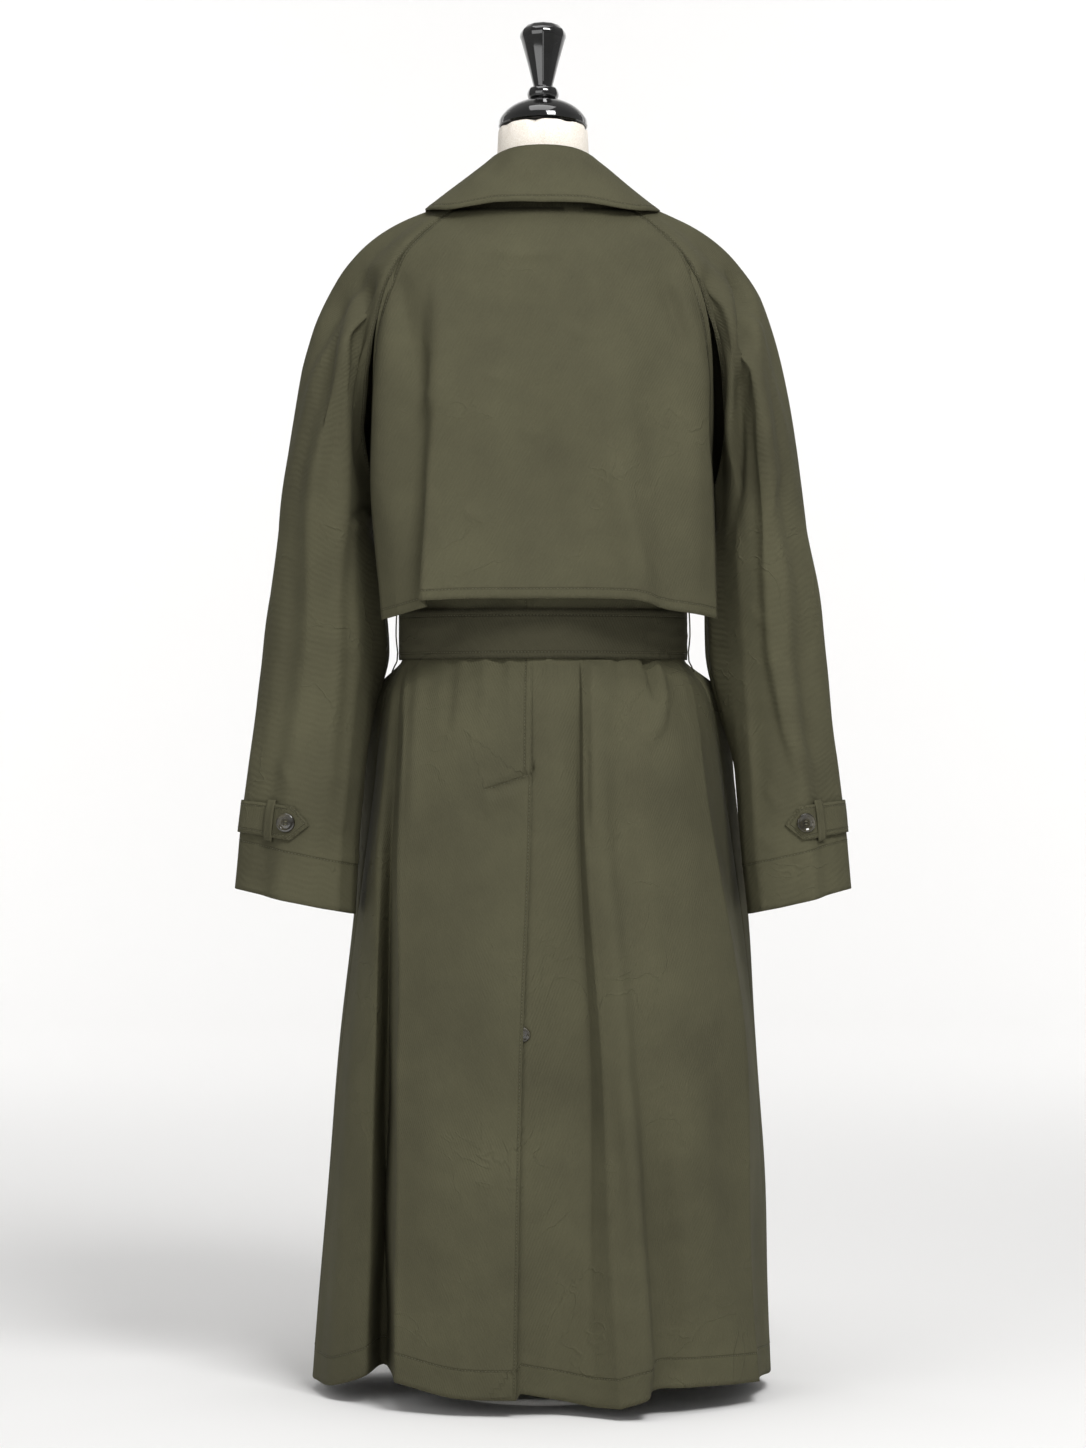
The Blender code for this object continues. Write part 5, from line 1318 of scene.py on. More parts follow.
def slanted_line(grid, start, reach, fall):
    """A line that starts at the first column and slants down across the cloth."""
    normals = normals_of(grid)
    points, ways = [], []
    from_first = from_edge(grid, "first")
    for k in range(SLANT_POINTS + 1):
        across_mm, level = 2 + reach * k / SLANT_POINTS, start - fall * k / SLANT_POINTS
        i = int(np.argmin(np.abs(grid[:, 0, 2] - level)))
        i = min(max(i, 1), len(grid) - 2)
        rows = (i, i + 1) if grid[i, 0, 2] > level else (i - 1, i)
        share = (grid[rows[0], 0, 2] - level) / (grid[rows[0], 0, 2] - grid[rows[1], 0, 2])
        found = [
            [np.interp(across_mm, from_first[r], source[r, :, c]) for c in range(3)]
            for source in (grid, normals) for r in rows
        ]
        points.append(np.array(found[0]) * (1 - share) + np.array(found[1]) * share)
        ways.append(np.array(found[2]) * (1 - share) + np.array(found[3]) * share)
    return np.array(points), np.array(ways)


# ---------------------------------------------------------------- the fronts

INNER_SHARE = (0.16, 0.36)  # over this share of its width the left front passes below the right one
LAPEL_HEIGHTS = (BREAK, 975, 1030, 1085, 1128)
LAPEL_WIDTHS = (0.05, 0.26, 0.40, 0.43, 0.30)  # as shares of the row
LAPEL_COLUMNS = 16
LAPEL_END = 1125
WELT_COLUMNS = 8
WELT_INSET = 2.5

def front_grid(side, heights):
    grid = panel_grid(front_folds(side), FRONT_ROWS, side, heights, front_share)
    grid = rippled(creased(grid, FRONT_CREASES), 30 + side, 150, 1.6, belted=True)
    if side < 0:
        inner = smooth_step(*INNER_SHARE, np.linspace(0, 1, grid.shape[1]))
        depth = np.array([under_depth(h) for h in heights])
        grid = lifted(grid, -depth[:, None] * inner[None, :])
    return grid


class COAT_OT_fronts(bpy.types.Operator):
    """Makes the two fronts, their lapels and the pocket welts"""

    bl_idname = "coat.fronts"
    bl_label = "Fronts, lapels and pockets"

    def execute(self, context):
        hem = ("hem", context.scene.coat_sizes.hem_turn / MM, *EVERYWHERE)
        heights = heights_between(FRONT_HEIGHTS, 6.0)
        for side, name in ((1, "right"), (-1, "left")):
            grid = front_grid(side, heights)
            lines = (hem, ("last", EDGE_INSET, 20.0, BREAK))
            grid = puckered(rolled_edges(grid, ("first",)), lines, 40 + side)
            piece = cloth_piece(f"front_{name}_cloth", grid, [f"front_{name}"], lines=lines)
            declare(grid)
            self.lapel(side, name)
            self.welt(side, name, grid, heights)
        return {"FINISHED"}

    def lapel(self, side, name):
        heights = heights_between([h for h in FRONT_HEIGHTS if BREAK <= h <= LAPEL_END], 5.0)
        rows = []
        for height in heights:
            roll = lapel_line(height) + 0.01
            width = ease(LAPEL_HEIGHTS, LAPEL_WIDTHS, height)
            shares = [min(0.95, roll + width * k / LAPEL_COLUMNS) for k in range(LAPEL_COLUMNS + 1)]
            rows.append([body_point(FRONT_ROWS, height, share * side) for share in shares])
        levels = [CLOTH + LAPEL_AIR - (under_depth(h) if side < 0 else 0) for h in heights]
        grid = lifted(as_grid(rows), np.array(levels))
        lines = (("last", EDGE_INSET, BREAK + 15, LAPEL_END - 5),)
        piece = cloth_piece(f"lapel_{name}_cloth", grid, [f"lapel_{name}"], lines=lines)
        declare(grid)

    def welt(self, side, name, front, heights):
        steps = panel_steps(front_folds(side), FRONT_ROWS, side, front_share)
        outer = lifted(front, CLOTH + LAYER)
        rows = []
        for height in heights_between((POCKET_TOP, POCKET_BOTTOM), 4.0):
            share = (POCKET_TOP - height) / (POCKET_TOP - POCKET_BOTTOM)
            middle = steps[0] + (POCKET_PLACE - POCKET_SLANT * share - 1) * steps[1]
            level = float(np.interp(-height, [-h for h in heights], range(len(heights))))
            i, down = int(level), level % 1
            line = outer[i] * (1 - down) + outer[i + 1] * down
            row = []
            for j in range(WELT_COLUMNS + 1):
                place = middle + POCKET_HALF * (1 - 2 * j / WELT_COLUMNS) * steps[1]
                k = int(place)
                row.append(line[k] * (1 - place + k) + line[k + 1] * (place - k))
            rows.append(row)
        grid = np.array(rows)
        lines = tuple((edge, WELT_INSET, *EVERYWHERE) for edge in ("first", "last", "top", "hem"))
        piece = cloth_piece(f"pocket_welt_{name}_cloth", grid, [f"pocket_welt_{name}"], lines=lines)
        declare(grid)


# ---------------------------------------------------------------- sleeves

SLEEVE_FINE = 5  # fine steps for each step of the sleeve's fold lines
SLEEVE_SPLIT = sum(fold[-1] for fold in SLEEVE_BACK_FOLDS[:-1]) * SLEEVE_FINE
SHOULDER_STEP = 0.0145  # of the way from the raglan seam to the armpit
RAGLAN_INSETS = (2.4, 9.0)  # the raglan seam is stitched twice


def fine_shoulder(arm, t, fine):
    """One ring of the sleeve between the raglan seam (0) and the armpit (1)."""
    named, steps = sleeve_folds()
    points = []
    for g in named:
        start = Vector((g["start_x"], g["start_y"], g["start_z"]))
        end = arm_point(arm, ARM_START, g["turn"], ease((0, 0.55, 1), (0, g["upper"], g["middle"]), t))
        lead = start + Vector((g["lead_x"], g["lead_y"], g["lead_z"]))
        rise = end + Vector((g["ease_x"], g["ease_y"], g["ease_z"]))
        a, b, c, d = (1 - t) ** 3, 3 * t * (1 - t) ** 2, 3 * t * t * (1 - t), t**3
        points.append(start * a + lead * b + rise * c + end * d)
    return across(points, [g["kind"] for g in named], [s * fine for s in steps], closed=True)


def sleeve_grid(arm):
    """The whole sleeve on +X as rings from the raglan seam to the cuff."""
    steps = sleeve_folds()[1]
    rings = [fine_shoulder(arm, t, SLEEVE_FINE) for t in heights_between((0.0, 1.0), SHOULDER_STEP)[:-1]]
    fine_steps = [s * SLEEVE_FINE for s in steps]
    rings += [arm_ring(arm, height, fine_steps) for height in heights_between(ARM_HEIGHTS, FINE)]
    return as_grid(rings)


class COAT_OT_sleeves(bpy.types.Operator):
    """Makes the two-piece raglan sleeves"""

    bl_idname = "coat.sleeves"
    bl_label = "Sleeves"

    def execute(self, context):
        hem = ("hem", context.scene.coat_sizes.cuff_turn / MM, *EVERYWHERE)
        raglan = tuple(("top", inset, *EVERYWHERE) for inset in RAGLAN_INSETS)
        for side, name, arm in ((1, "right", ARM_RIGHT_ROWS), (-1, "left", ARM_LEFT_ROWS)):
            grid = sleeve_grid(arm)
            axis = (230 * side, -8)
            back_table = SLEEVE_RIGHT_BACK_CREASES if side > 0 else SLEEVE_LEFT_BACK_CREASES
            front_table = [(*row[:5], [(x * side, z) for x, z in row[5]]) for row in SLEEVE_FRONT_CREASES]
            grid[..., 0] *= side
            for face, part, table, seed in (
                ("back", grid[:, : SLEEVE_SPLIT + 1], back_table, 50),
                ("front", grid[:, SLEEVE_SPLIT:], front_table, 60),
            ):
                part = rippled(creased(part, table, axis), seed + side, 120, 1.5, axis)
                part = rolled_edges(part, ("first", "last", "top"), axis=axis)
                lines = (hem, *raglan) if face == "back" else (hem, raglan[0])
                part = puckered(part, lines, seed, axis)
                title = f"sleeve_{name}_{face}"
                piece = cloth_piece(title + "_cloth", part, [title], axis=axis, lines=lines)
                declare(part)
        return {"FINISHED"}


# ---------------------------------------------------------------- storm flap and collar

FLAP_FINE_ACROSS = 4.2
FLAP_FINE_DOWN = 4.4
FLAP_LIFT_ZONE = 90  # below the sewn part the flap's own lift comes in over this height
FLAP_BEND = (30, 70)  # smoothed fully within the first distance of FLAP_SEWN, and not past the second
FLAP_SMOOTHING = 90  # passes
FLAP_SEAM_INSET = 2.6
COLLAR_INSET = 6.8

def flap_grid():
    kinds = column(FLAP_FOLDS, FLAP_COLUMNS, "kind")
    named = [dict(zip(FLAP_COLUMNS, fold)) for fold in FLAP_FOLDS]
    spans = [abs(b["hem_x"] - a["hem_x"]) for a, b in zip(named, named[1:])]
    steps = [max(3, math.ceil(span / FLAP_FINE_ACROSS)) for span in spans] + [1]
    keys = (FLAP_SEWN, FLAP_CHEST, FLAP_MID, FLAP_LOWEST)
    rows, lift = [], []
    for height in heights_between((*FLAP_HEIGHTS, FLAP_LOWEST), FLAP_FINE_DOWN):
        share = (FLAP_SEWN - height) / (FLAP_SEWN - FLAP_LOWEST)
        points = []
        for g in named:
            sewn = body_point(BACK_ROWS, max(height, FLAP_SEWN), g["share"])
            if height >= FLAP_SEWN:
                points.append(sewn)
                continue
            x = ease(keys, (sewn.x, g["chest_x"], g["mid_x"], g["hem_x"]), height)
            y = ease(keys, (sewn.y - 1.5, g["chest_y"], g["mid_y"], g["hem_y"]), height)
            points.append(Vector((x, y, height + (g["hem_z"] - FLAP_LOWEST) * share**3)))
        rows.append(across(points, kinds, steps))
        lift.append((CLOTH + LAYER) * float(smooth_step(FLAP_SEWN - FLAP_LIFT_ZONE, FLAP_SEWN, height)))
    grid = lifted(as_grid(rows), np.array(lift))
    # the cloth bends softly where the sewn part meets the loose one
    near, far = FLAP_BEND
    loose = smooth_step(0, far - near, far - np.abs(grid[1:-1, :, 2:] - FLAP_SEWN))
    for _ in range(FLAP_SMOOTHING):
        level = (grid[2:, :, :2] + grid[:-2, :, :2]) / 2
        grid[1:-1, :, :2] += (level - grid[1:-1, :, :2]) * loose
    return grid


class COAT_OT_storm_flap(bpy.types.Operator):
    """Makes the loose flap over the upper back, caught in the raglan seams"""

    bl_idname = "coat.storm_flap"
    bl_label = "Storm flap"

    def execute(self, context):
        hem = ("hem", context.scene.coat_sizes.flap_turn / MM, *EVERYWHERE)
        grid = rippled(creased(flap_grid(), FLAP_CREASES), 5, 140, 2.2)
        grid = puckered(grid, (hem, hem), 23, depth=0.5)
        grid = rolled_edges(grid, ("first", "last"), 0.9, 3.5)
        lines = (hem, *((edge, FLAP_SEAM_INSET, 1030.0, 1172.0) for edge in ("first", "last")))
        piece = cloth_piece("storm_flap_cloth", grid, ["storm_flap"], lines=lines)
        declare(grid)
        return {"FINISHED"}


def collar_rows(inner, outer, swell, steps, stations, fine):
    """Rows from one edge of the collar to the other, both sides of the neck."""
    kinds = ["soft"] * (2 * len(stations) - 1)
    edges = []
    for edge in (inner, outer):
        columns = [COLLAR_COLUMNS.index(f"{edge}_{axis}") for axis in "xyz"]
        half = [Vector([row[place] for place in columns]) for row in stations]
        other_half = [Vector((-p.x, p.y, p.z)) for p in reversed(half[1:])]
        edges.append(across(other_half + half, kinds, [fine] * len(kinds)))
    rows = []
    for k in range(steps + 1):
        t = k / steps
        row = []
        for p, q in zip(*edges):
            out = Vector((p.x, p.y, 0)).normalized()
            row.append(p.lerp(q, t) + (out * 0.5 + Vector((0, 0, 0.85))) * 4 * t * (1 - t) * swell)
        rows.append(row)
    return rows


class COAT_OT_collar(bpy.types.Operator):
    """Makes the collar's stand and its turned-down fall"""

    bl_idname = "coat.collar"
    bl_label = "Collar"

    def execute(self, context):
        fall = as_grid(collar_rows("fold", "edge", COLLAR_SWELL, 16, COLLAR_STATIONS, 9))
        fall = rippled(creased(fall, COLLAR_CREASES), 6, 90, 0.8)
        lines = tuple((edge, COLLAR_INSET, *EVERYWHERE) for edge in ("hem", "first", "last"))
        fall = puckered(fall, lines[:1], 24)
        piece = cloth_piece("collar_fall_cloth", fall, ["collar_fall"], lines=lines)
        declare(fall)
        rows = collar_rows("fold", "stand", 0, 10, COLLAR_STATIONS[:-1], 8)
        inner = []
        for k, row in enumerate(rows):
            share = 1 - k / (len(rows) - 1)
            drop = Vector((0, 0, STAND_DROP * share))
            inner.append([p - Vector((p.x, p.y, 0)).normalized() * STAND_IN * share - drop for p in row])
        stand = as_grid(inner)
        piece = cloth_piece("collar_stand_cloth", stand, ["collar_stand"])
        declare(stand)
        return {"FINISHED"}


# ---------------------------------------------------------------- belt, straps and loops


def belt_row(share):
    """One line of the belt, from the buckle once round and over its own beginning to the pointed tip."""
    ring = waist_ring(BELT_TOP + (BELT_BOTTOM - BELT_TOP) * share, BELT_RING)
    base = BELT_CLOTH + BELT_AIR
    second = base + BUCKLE_BAR + BELT_CLOTH + 2 * BELT_AIR
    point = BELT_POINT * abs(2 * share - 1) ** 1.3
    stops = (
        (BUCKLE_PLACE, base), (BELT_CLIMB, base), (1.0 + BUCKLE_PLACE, second),
        (1.0 + BELT_TIP - point, second - BUCKLE_BAR),
    )
    row = []
    for (a, low), (b, high), count in zip(stops, stops[1:], BELT_STEPS):
        for k in range(count):
            t = k / count
            place = (a + (b - a) * t) * BELT_RING
            here, after = (ring[(int(place) + step) % BELT_RING] for step in (0, 1))
            here = here.lerp(after, place - int(place))
            along = ring[(int(place) + 4) % BELT_RING] - ring[(int(place) - 4) % BELT_RING]
            out = Vector((along.y, -along.x, 0)).normalized()
            if out.x * here.x + out.y * here.y < 0:
                out = -out
            row.append(here + out * (low + (high - low) * float(smooth_step(0, 1, t))))
    return row


def behind_seams(grid):
    """1 behind the side seams, 0 in front of them."""
    return smooth_step(10, -10, grid[..., 1])


class COAT_OT_belt(bpy.types.Operator):
    """Makes the belt, its buckle and the thread loops at the side seams"""

    bl_idname = "coat.belt"
    bl_label = "Belt"

    def execute(self, context):
        grid = as_grid([belt_row(k / 12) for k in range(13)])
        behind = behind_seams(grid)[..., None]
        grid = creased(grid, BELT_CREASES) * behind + grid * (1 - behind)
        lines = tuple((edge, EDGE_INSET, *EVERYWHERE) for edge in ("top", "hem"))
        piece = cloth_piece("belt_cloth", grid, ["belt"], "gabardine_belt", thick=BELT_CLOTH, lines=lines)
        declare(grid)
        buckle = copy_of_node("buckle", "buckle_frame")
        apply_modifier(buckle, "BEVEL", width=0.0011, segments=3, limit_method="ANGLE")
        smooth_sides(buckle, 40)
        buckle.data.materials.append(MATERIALS["horn"])
        belongs(buckle, ["buckle"])
        for side, name in ((1, "right"), (-1, "left")):
            loop = copy_of_node(f"belt_loop_{name}", f"belt_loop_{name}_thread")
            smooth_sides(loop, 60)
            loop.data.materials.append(MATERIALS["gabardine_belt"])
            belongs(loop, [f"belt_loop_{name}"])
        return {"FINISHED"}


def sleeve_place(arm, height, turn, side, out):
    """A point this far out of the sleeve at a height and a turn."""
    fine = 12
    named, steps = sleeve_folds()
    ring = arm_ring(arm, height, [fine] * len(steps))
    turns = [g["turn"] % 360 for g in named] + [360]
    fine_turns = []
    for a, b in zip(turns, turns[1:]):
        fine_turns += [a + (b - a) * k / fine for k in range(fine)]
    fine_turns.append(360)
    here = Vector([float(np.interp(turn % 360, fine_turns, [p[i] for p in ring])) for i in range(3)])
    heights = column(arm, ARM_COLUMNS, "height")
    x, y = (ease(heights, column(arm, ARM_COLUMNS, name), height) for name in ("centre_x", "centre_y"))
    here = here + (here - Vector((x, y, here.z))).normalized() * out
    return Vector((here.x * side, here.y, here.z))


STRAP_LIFT = CLOTH + LAYER + 0.5  # the strap's outer face above the sleeve's
STRAP_POINT = 15  # degrees that the corners of its end are cut back
STRAP_INSET = 5.0
KEEPER_HALF_TURN = 5
KEEPER_REACH = 4  # how far the keeper stands past the strap, above and below


class COAT_OT_cuffs(bpy.types.Operator):
    """Makes the pointed cuff straps and their keepers"""

    bl_idname = "coat.cuffs"
    bl_label = "Cuff straps"

    def execute(self, context):
        low, high = STRAP_HEIGHT - STRAP_WIDTH / 2, STRAP_HEIGHT + STRAP_WIDTH / 2
        for side, name, arm in ((1, "right", ARM_RIGHT_ROWS), (-1, "left", ARM_LEFT_ROWS)):
            axis = (240 * side, -30)
            rows = []
            for k in range(11):
                share = k / 10
                last = STRAP_TIP_TURN + 4 - STRAP_POINT * abs(2 * share - 1)
                level = high + (low - high) * share
                turns = np.linspace(STRAP_END_TURN, last, 70)
                rows.append([sleeve_place(arm, level, t, side, STRAP_LIFT) for t in turns])
            grid = rippled(as_grid(rows), 70 + side, 40, 0.35, axis)
            lines = tuple((edge, STRAP_INSET, *EVERYWHERE) for edge in ("top", "hem", "last"))
            title = f"cuff_strap_{name}"
            piece = cloth_piece(title + "_cloth", grid, [title], axis=axis, lines=lines)
            declare(grid)
            rows = []
            for k in range(13):
                level = high + KEEPER_REACH + (low - high - 2 * KEEPER_REACH) * k / 12
                rise = (CLOTH + LAYER) * float(smooth_step(0, 3, min(k, 12 - k)))
                turns = [STRAP_KEEPER_TURN + KEEPER_HALF_TURN * (2 * j / 5 - 1) for j in range(6)]
                rows.append([sleeve_place(arm, level, t, side, CLOTH + LAYER + rise + 0.7) for t in turns])
            grid = as_grid(rows)
            piece = cloth_piece(f"strap_keeper_{name}_cloth", grid, [f"strap_keeper_{name}"], axis=axis)
            declare(grid)
        return {"FINISHED"}


# ---------------------------------------------------------------- buttons

# Outline of a button, as shares of its radius and its thickness
BUTTON_PROFILE = (
    (0.72, 0.0), (0.93, 0.10), (1.0, 0.34), (1.0, 0.58), (0.96, 0.84), (0.88, 1.0), (0.78, 0.98),
    (0.68, 0.80), (0.60, 0.62), (0.50, 0.56), (0.20, 0.56),
)
HOLE_PLACE = 0.20  # the four holes, as shares of the radius
HOLE_RADIUS = 0.085
VENT_BUTTON_RADIUS = 7

def button_model(radius):
    """A four-hole button: turned with a raised rim and a dished middle, then drilled."""
    thick = BUTTON_THICK * radius / BUTTON_RADIUS
    button = turned_piece("button_model", [(radius * r, thick * z) for r, z in BUTTON_PROFILE], 36)
    cutter = None
    reach = radius * HOLE_PLACE * MM
    for k in range(4):
        turn = math.radians(45 + 90 * k)
        bpy.ops.object.select_all(action="DESELECT")
        bpy.ops.mesh.primitive_cylinder_add(
            vertices=14, radius=radius * HOLE_RADIUS * MM, depth=thick * 3 * MM,
            location=(math.cos(turn) * reach, math.sin(turn) * reach, thick * MM),
        )
        drill = bpy.context.object
        bpy.ops.object.transform_apply(location=True)
        if cutter:
            only(cutter)
            drill.select_set(True)
            bpy.ops.object.join()
        else:
            cutter = drill
    apply_modifier(button, "BOOLEAN", operation="DIFFERENCE", object=cutter, solver="EXACT")
    bpy.data.objects.remove(cutter)
    smooth_sides(button, 34)
    return button


def thread_model(radius):
    """The thread that crosses a button between its holes."""
    thick = BUTTON_THICK * radius / BUTTON_RADIUS
    bars = []
    for k in range(2):
        bpy.ops.object.select_all(action="DESELECT")
        bpy.ops.mesh.primitive_uv_sphere_add(segments=10, ring_count=6, radius=0.5 * MM)
        bar = bpy.context.object
        bpy.ops.object.mode_set(mode="EDIT")
        bpy.ops.mesh.select_all(action="SELECT")
        size = (radius * 0.40, radius * 0.12, radius * 0.10)
        bpy.ops.transform.resize(value=size, center_override=(0, 0, 0))
        bpy.ops.transform.translate(value=(0, (k - 0.5) * radius * 0.28 * MM, thick * 0.60 * MM))
        bpy.ops.object.mode_set(mode="OBJECT")
        bars.append(bar)
    only(bars[0])
    bars[1].select_set(True)
    bpy.ops.object.join()
    bars[0].data.shade_smooth()
    return bars[0]


def seat_of(node, outward):
    """Where a packed button sits: its middle, and its thin direction, turned outward."""
    points = np.array([tuple(v.co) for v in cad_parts[node].data.vertices])
    middle = (points.max(axis=0) + points.min(axis=0)) / 2
    axis = Vector(np.linalg.svd(points - points.mean(axis=0))[2][2])
    if axis.dot(Vector(outward)) < 0:
        axis = -axis
    return Vector(middle), axis.normalized()


# Each button's node, its radius and the way it roughly faces
BUTTONS = (
    ("cuff_button_right", CUFF_BUTTON_RADIUS, (0.4, -1, 0)),
    ("cuff_button_left", CUFF_BUTTON_RADIUS, (-0.4, -1, 0)),
    ("vent_button", VENT_BUTTON_RADIUS, (0, -1, 0)),
    *((f"front_button_{k}", BUTTON_RADIUS, (0, 1, 0)) for k in range(1, 9)),
)


class COAT_OT_buttons(bpy.types.Operator):
    """Makes the horn buttons and sews each on with thread"""

    bl_idname = "coat.buttons"
    bl_label = "Buttons"

    def execute(self, context):
        radii = {radius for node, radius, outward in BUTTONS}
        models = {radius: (button_model(radius), thread_model(radius)) for radius in radii}
        for node, radius, outward in BUTTONS:
            middle, axis = seat_of(node, outward)
            thick = BUTTON_THICK * radius / BUTTON_RADIUS * MM
            facing = axis.to_track_quat("Z", "Y").to_matrix().to_4x4()
            turn = Matrix.Translation(middle - axis * thick / 2) @ facing
            for model, kind, nodes in zip(models[radius], ("horn", "thread"), ([node], [])):
                mesh = model.data.copy()
                mesh.transform(turn)
                mesh.materials.append(MATERIALS[kind])
                piece = bpy.data.objects.new(f"{node}_{kind}", mesh)
                context.scene.collection.objects.link(piece)
                belongs(piece, nodes)
        for pair in models.values():
            for model in pair:
                bpy.data.objects.remove(model)
        return {"FINISHED"}


# ---------------------------------------------------------------- dress form

# Outlines of what is turned: radius and height, in millimetres
CAP_PROFILE = (
    (43.5, 0), (44.5, 1), (44.5, 5), (43.6, 8.0), (41, 12), (38, 15.6), (34, 19), (29, 22.2),
    (24, 24.5), (19, 26.2), (14, 27), (6, 27.1),
)
FINIAL_PROFILE = (
    (13, 28.2), (14.6, 30), (15.5, 32), (15.9, 34.5), (15.5, 37), (14.6, 39), (13, 40.6), (9.7, 41.2),
    (10.0, 44), (11, 48), (15.5, 66), (22, 90), (23.0, 92.5), (23.3, 94.5), (23.0, 97), (22, 99),
    (17, 104), (9, 106.8), (4, 107.5),
)
POLE_PROFILE = ((POLE_RADIUS, FOOT_THICK + 0.3), (POLE_RADIUS, 543.5))
FOOT_PROFILE = ((FOOT_RADIUS, 0), (FOOT_RADIUS, FOOT_THICK - 2), (FOOT_RADIUS - 2, FOOT_THICK))


class COAT_OT_form(bpy.types.Operator):
    """Makes the linen-covered form, its lacquered cap and finial, and its stand"""

    bl_idname = "coat.form"
    bl_label = "Dress form"

    def execute(self, context):
        body = copy_of_node("form_body", "form_linen")
        apply_modifier(body, "SUBSURF", levels=2, render_levels=2)
        body.data.shade_smooth()
        body.data.materials.append(MATERIALS["linen"])
        belongs(body, ["form_body"])
        self.neck_seam()
        lean = Matrix.Translation(Vector((0, -1, CAP_HEIGHT)) * MM) @ Matrix.Rotation(-CAP_TILT, 4, "X")
        for name, profile, around, finish, place, edge in (
            ("neck_cap", CAP_PROFILE, 64, "lacquer", lean, 30),
            ("finial", FINIAL_PROFILE, 12, "lacquer", lean, 20),
            ("pole", POLE_PROFILE, 32, "satin_steel", Matrix(), 30),
            ("foot", FOOT_PROFILE, 64, "powder_coat", Matrix(), 30),
        ):
            piece = turned_piece(f"{name}_finished", profile, around)
            if name in ("finial", "foot"):
                soft = {"width": 0.0007, "segments": 2, "limit_method": "ANGLE", "angle_limit": 0.4}
                apply_modifier(piece, "BEVEL", **soft)
            piece.data.transform(place)
            smooth_sides(piece, edge)
            piece.data.materials.append(MATERIALS[finish])
            belongs(piece, [name])
        return {"FINISHED"}

    def neck_seam(self):
        """The seam down the back of the linen cover."""
        points, normals = [], []
        for k in range(20):
            height = 1257 - 4 * k
            back = ease(*(column(FORM_ROWS, FORM_COLUMNS, name) for name in ("height", "back_y")), height)
            points.append((0.6 * math.sin(k), back - 0.1, height))
            normals.append((0, -1, 0))
        points, normals = np.array(points), np.array(normals, float)
        sew("form_seam_stitching", [(points + (1.0 * side, 0, 0), normals) for side in (-1, 1)], "linen")


# ---------------------------------------------------------------- studio

# Each lamp's place and what it points at, in metres, the side of its square and its power in watts
LAMPS = (
    ("key", (1.0, -2.3, 3.1), (0.0, 0.0, 0.8), 1.1, 84),
    ("fill", (-2.2, -3.2, 1.6), (0.0, 0.0, 0.7), 2.0, 26),
    ("top", (-0.2, -0.7, 4.4), (0.0, 0.3, 0.0), 2.4, 44),
    ("low", (0.3, -3.4, 0.5), (0.0, 0.0, 0.0), 1.6, 12),
    ("wall_right", (3.6, 3.6, 3.0), (0.9, 6.8, 1.3), 2.4, 95),
    ("wall_left", (-3.6, 3.6, 3.0), (-0.9, 6.8, 1.3), 2.4, 95),
)
AIR_LIGHT = 0.30
# The paper, in metres: its front edge, where it starts to curve up, that radius, its top and half width
PAPER_START, PAPER_FLAT, PAPER_BEND, PAPER_TOP, PAPER_HALF = -9.0, 5.2, 1.6, 8.0, 9.0

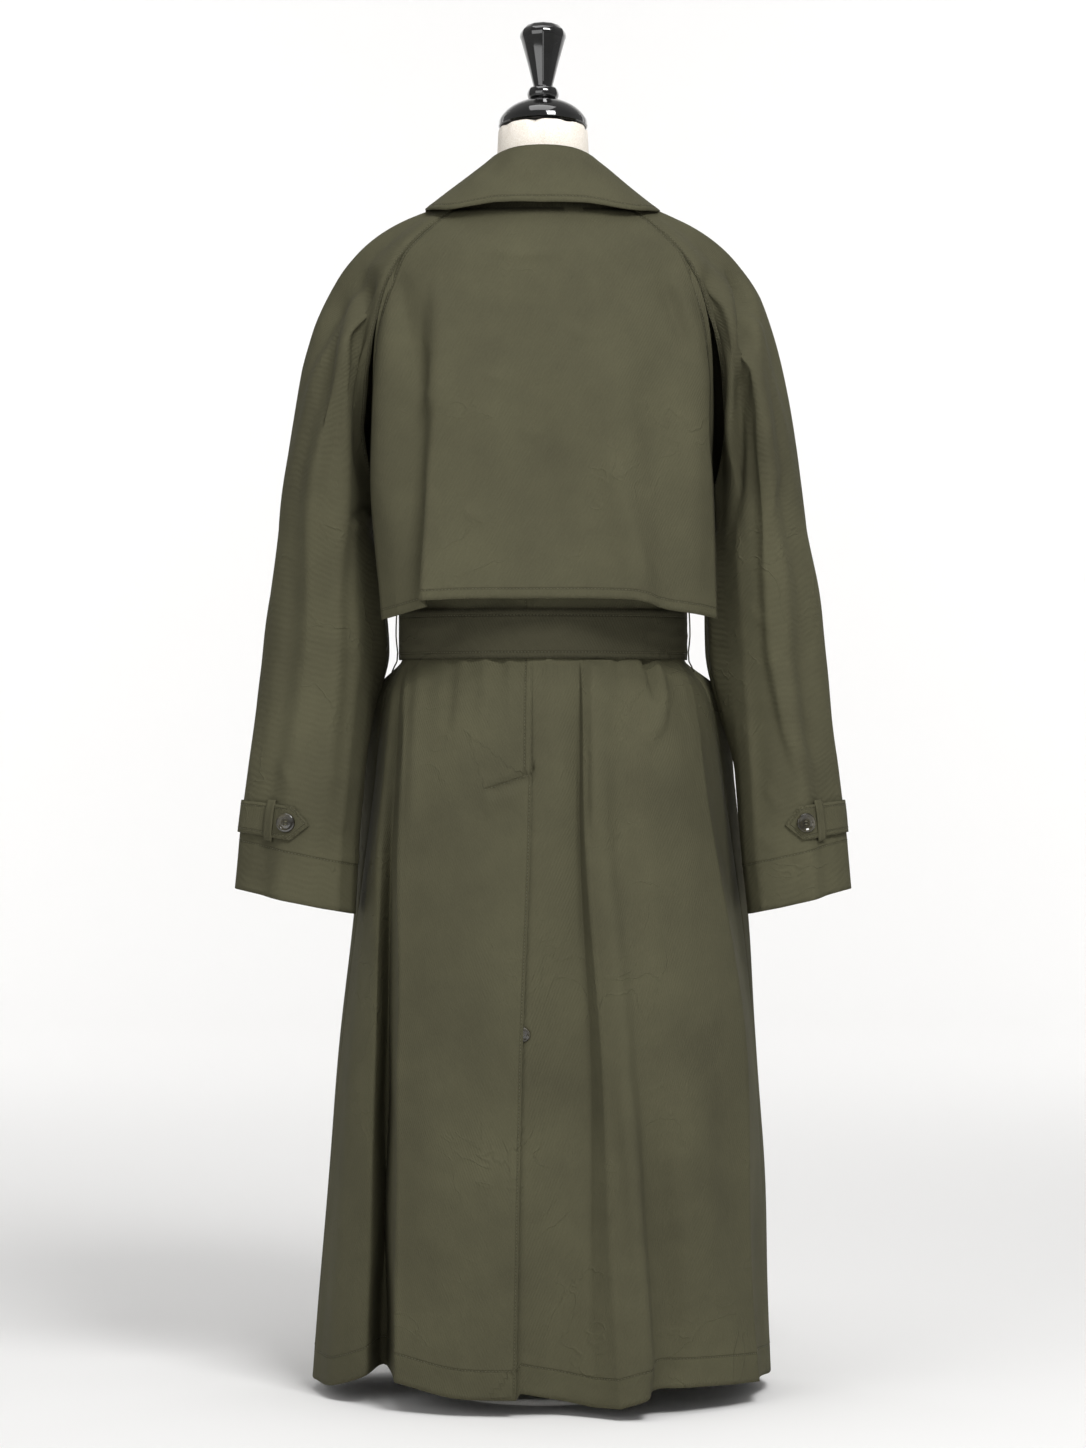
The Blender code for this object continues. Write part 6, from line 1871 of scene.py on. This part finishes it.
class COAT_OT_stage(bpy.types.Operator):
    """Sets the floor, the light and the camera"""

    bl_idname = "coat.stage"
    bl_label = "Studio"

    def execute(self, context):
        sizes = context.scene.coat_sizes
        self.floor(context)
        world = bpy.data.worlds.new("studio_air")
        world.use_nodes = True
        air = world.node_tree.nodes["Background"].inputs
        air["Color"].default_value = (1.0, 0.995, 0.985, 1)
        air["Strength"].default_value = AIR_LIGHT
        context.scene.world = world
        for name, place, aim, size, power in LAMPS:
            lamp = bpy.data.lights.new(name, "AREA")
            lamp.energy = power
            lamp.size = size
            obj = bpy.data.objects.new(name, lamp)
            obj.location = place
            obj.visible_camera = False
            obj.rotation_euler = (Vector(aim) - Vector(place)).to_track_quat("-Z", "Y").to_euler()
            context.scene.collection.objects.link(obj)
        camera = bpy.data.cameras.new("camera")
        camera.sensor_fit = "VERTICAL"
        camera.sensor_height = 36
        camera.lens = sizes.lens
        view = bpy.data.objects.new("camera", camera)
        view.location = (0, -sizes.camera_distance, sizes.camera_height)
        view.rotation_euler = (math.radians(90), 0, 0)
        context.scene.collection.objects.link(view)
        context.scene.camera = view
        context.scene.view_settings.view_transform = "Standard"
        return {"FINISHED"}

    def floor(self, context):
        """Pale paper that runs out under the form and curves up behind it."""
        outline = [(PAPER_START, 0.0), (-2.0, 0.0), (PAPER_FLAT, 0.0)]
        for degrees in range(6, 91, 6):
            turn = math.radians(degrees)
            outline.append((PAPER_FLAT + PAPER_BEND * math.sin(turn), PAPER_BEND * (1 - math.cos(turn))))
        outline.append((PAPER_FLAT + PAPER_BEND, PAPER_TOP))
        verts = [(x, y, z) for y, z in outline for x in (-PAPER_HALF, PAPER_HALF)]
        faces = [(2 * k, 2 * k + 1, 2 * k + 3, 2 * k + 2) for k in range(len(outline) - 1)]
        mesh = bpy.data.meshes.new("studio_paper")
        mesh.from_pydata(verts, [], faces)
        mesh.update()
        mesh.shade_smooth()
        paper, tree, shader = new_material("studio_paper", 0.9, 0.1)
        shader.inputs["Base Color"].default_value = (0.90, 0.895, 0.89, 1)
        mesh.materials.append(paper)
        obj = bpy.data.objects.new("studio_paper", mesh)
        context.scene.collection.objects.link(obj)


STEPS = (
    COAT_OT_backs, COAT_OT_fronts, COAT_OT_sleeves, COAT_OT_storm_flap, COAT_OT_collar, COAT_OT_belt,
    COAT_OT_cuffs, COAT_OT_buttons, COAT_OT_form, COAT_OT_stage,
)


class COAT_PT_panel(bpy.types.Panel):
    """Lists the steps that dress the coat"""

    bl_idname = "COAT_PT_panel"
    bl_label = "Trench coat"
    bl_space_type = "VIEW_3D"
    bl_region_type = "UI"
    bl_category = "Trench coat"

    def draw(self, context):
        for step in STEPS:
            self.layout.operator(step.bl_idname)


CLASSES = (CoatColours, CoatSizes, *STEPS, COAT_PT_panel)


def register():
    for made in CLASSES:
        bpy.utils.register_class(made)
    bpy.types.Scene.coat_colours = bpy.props.PointerProperty(type=CoatColours)
    bpy.types.Scene.coat_sizes = bpy.props.PointerProperty(type=CoatSizes)


def unregister():
    del bpy.types.Scene.coat_sizes
    del bpy.types.Scene.coat_colours
    for made in reversed(CLASSES):
        bpy.utils.unregister_class(made)


def main():
    register()
    make_materials(bpy.context.scene.coat_colours)
    for step in STEPS:
        area, name = step.bl_idname.split(".")
        getattr(getattr(bpy.ops, area), name)()


if __name__ == "__main__":
    main()
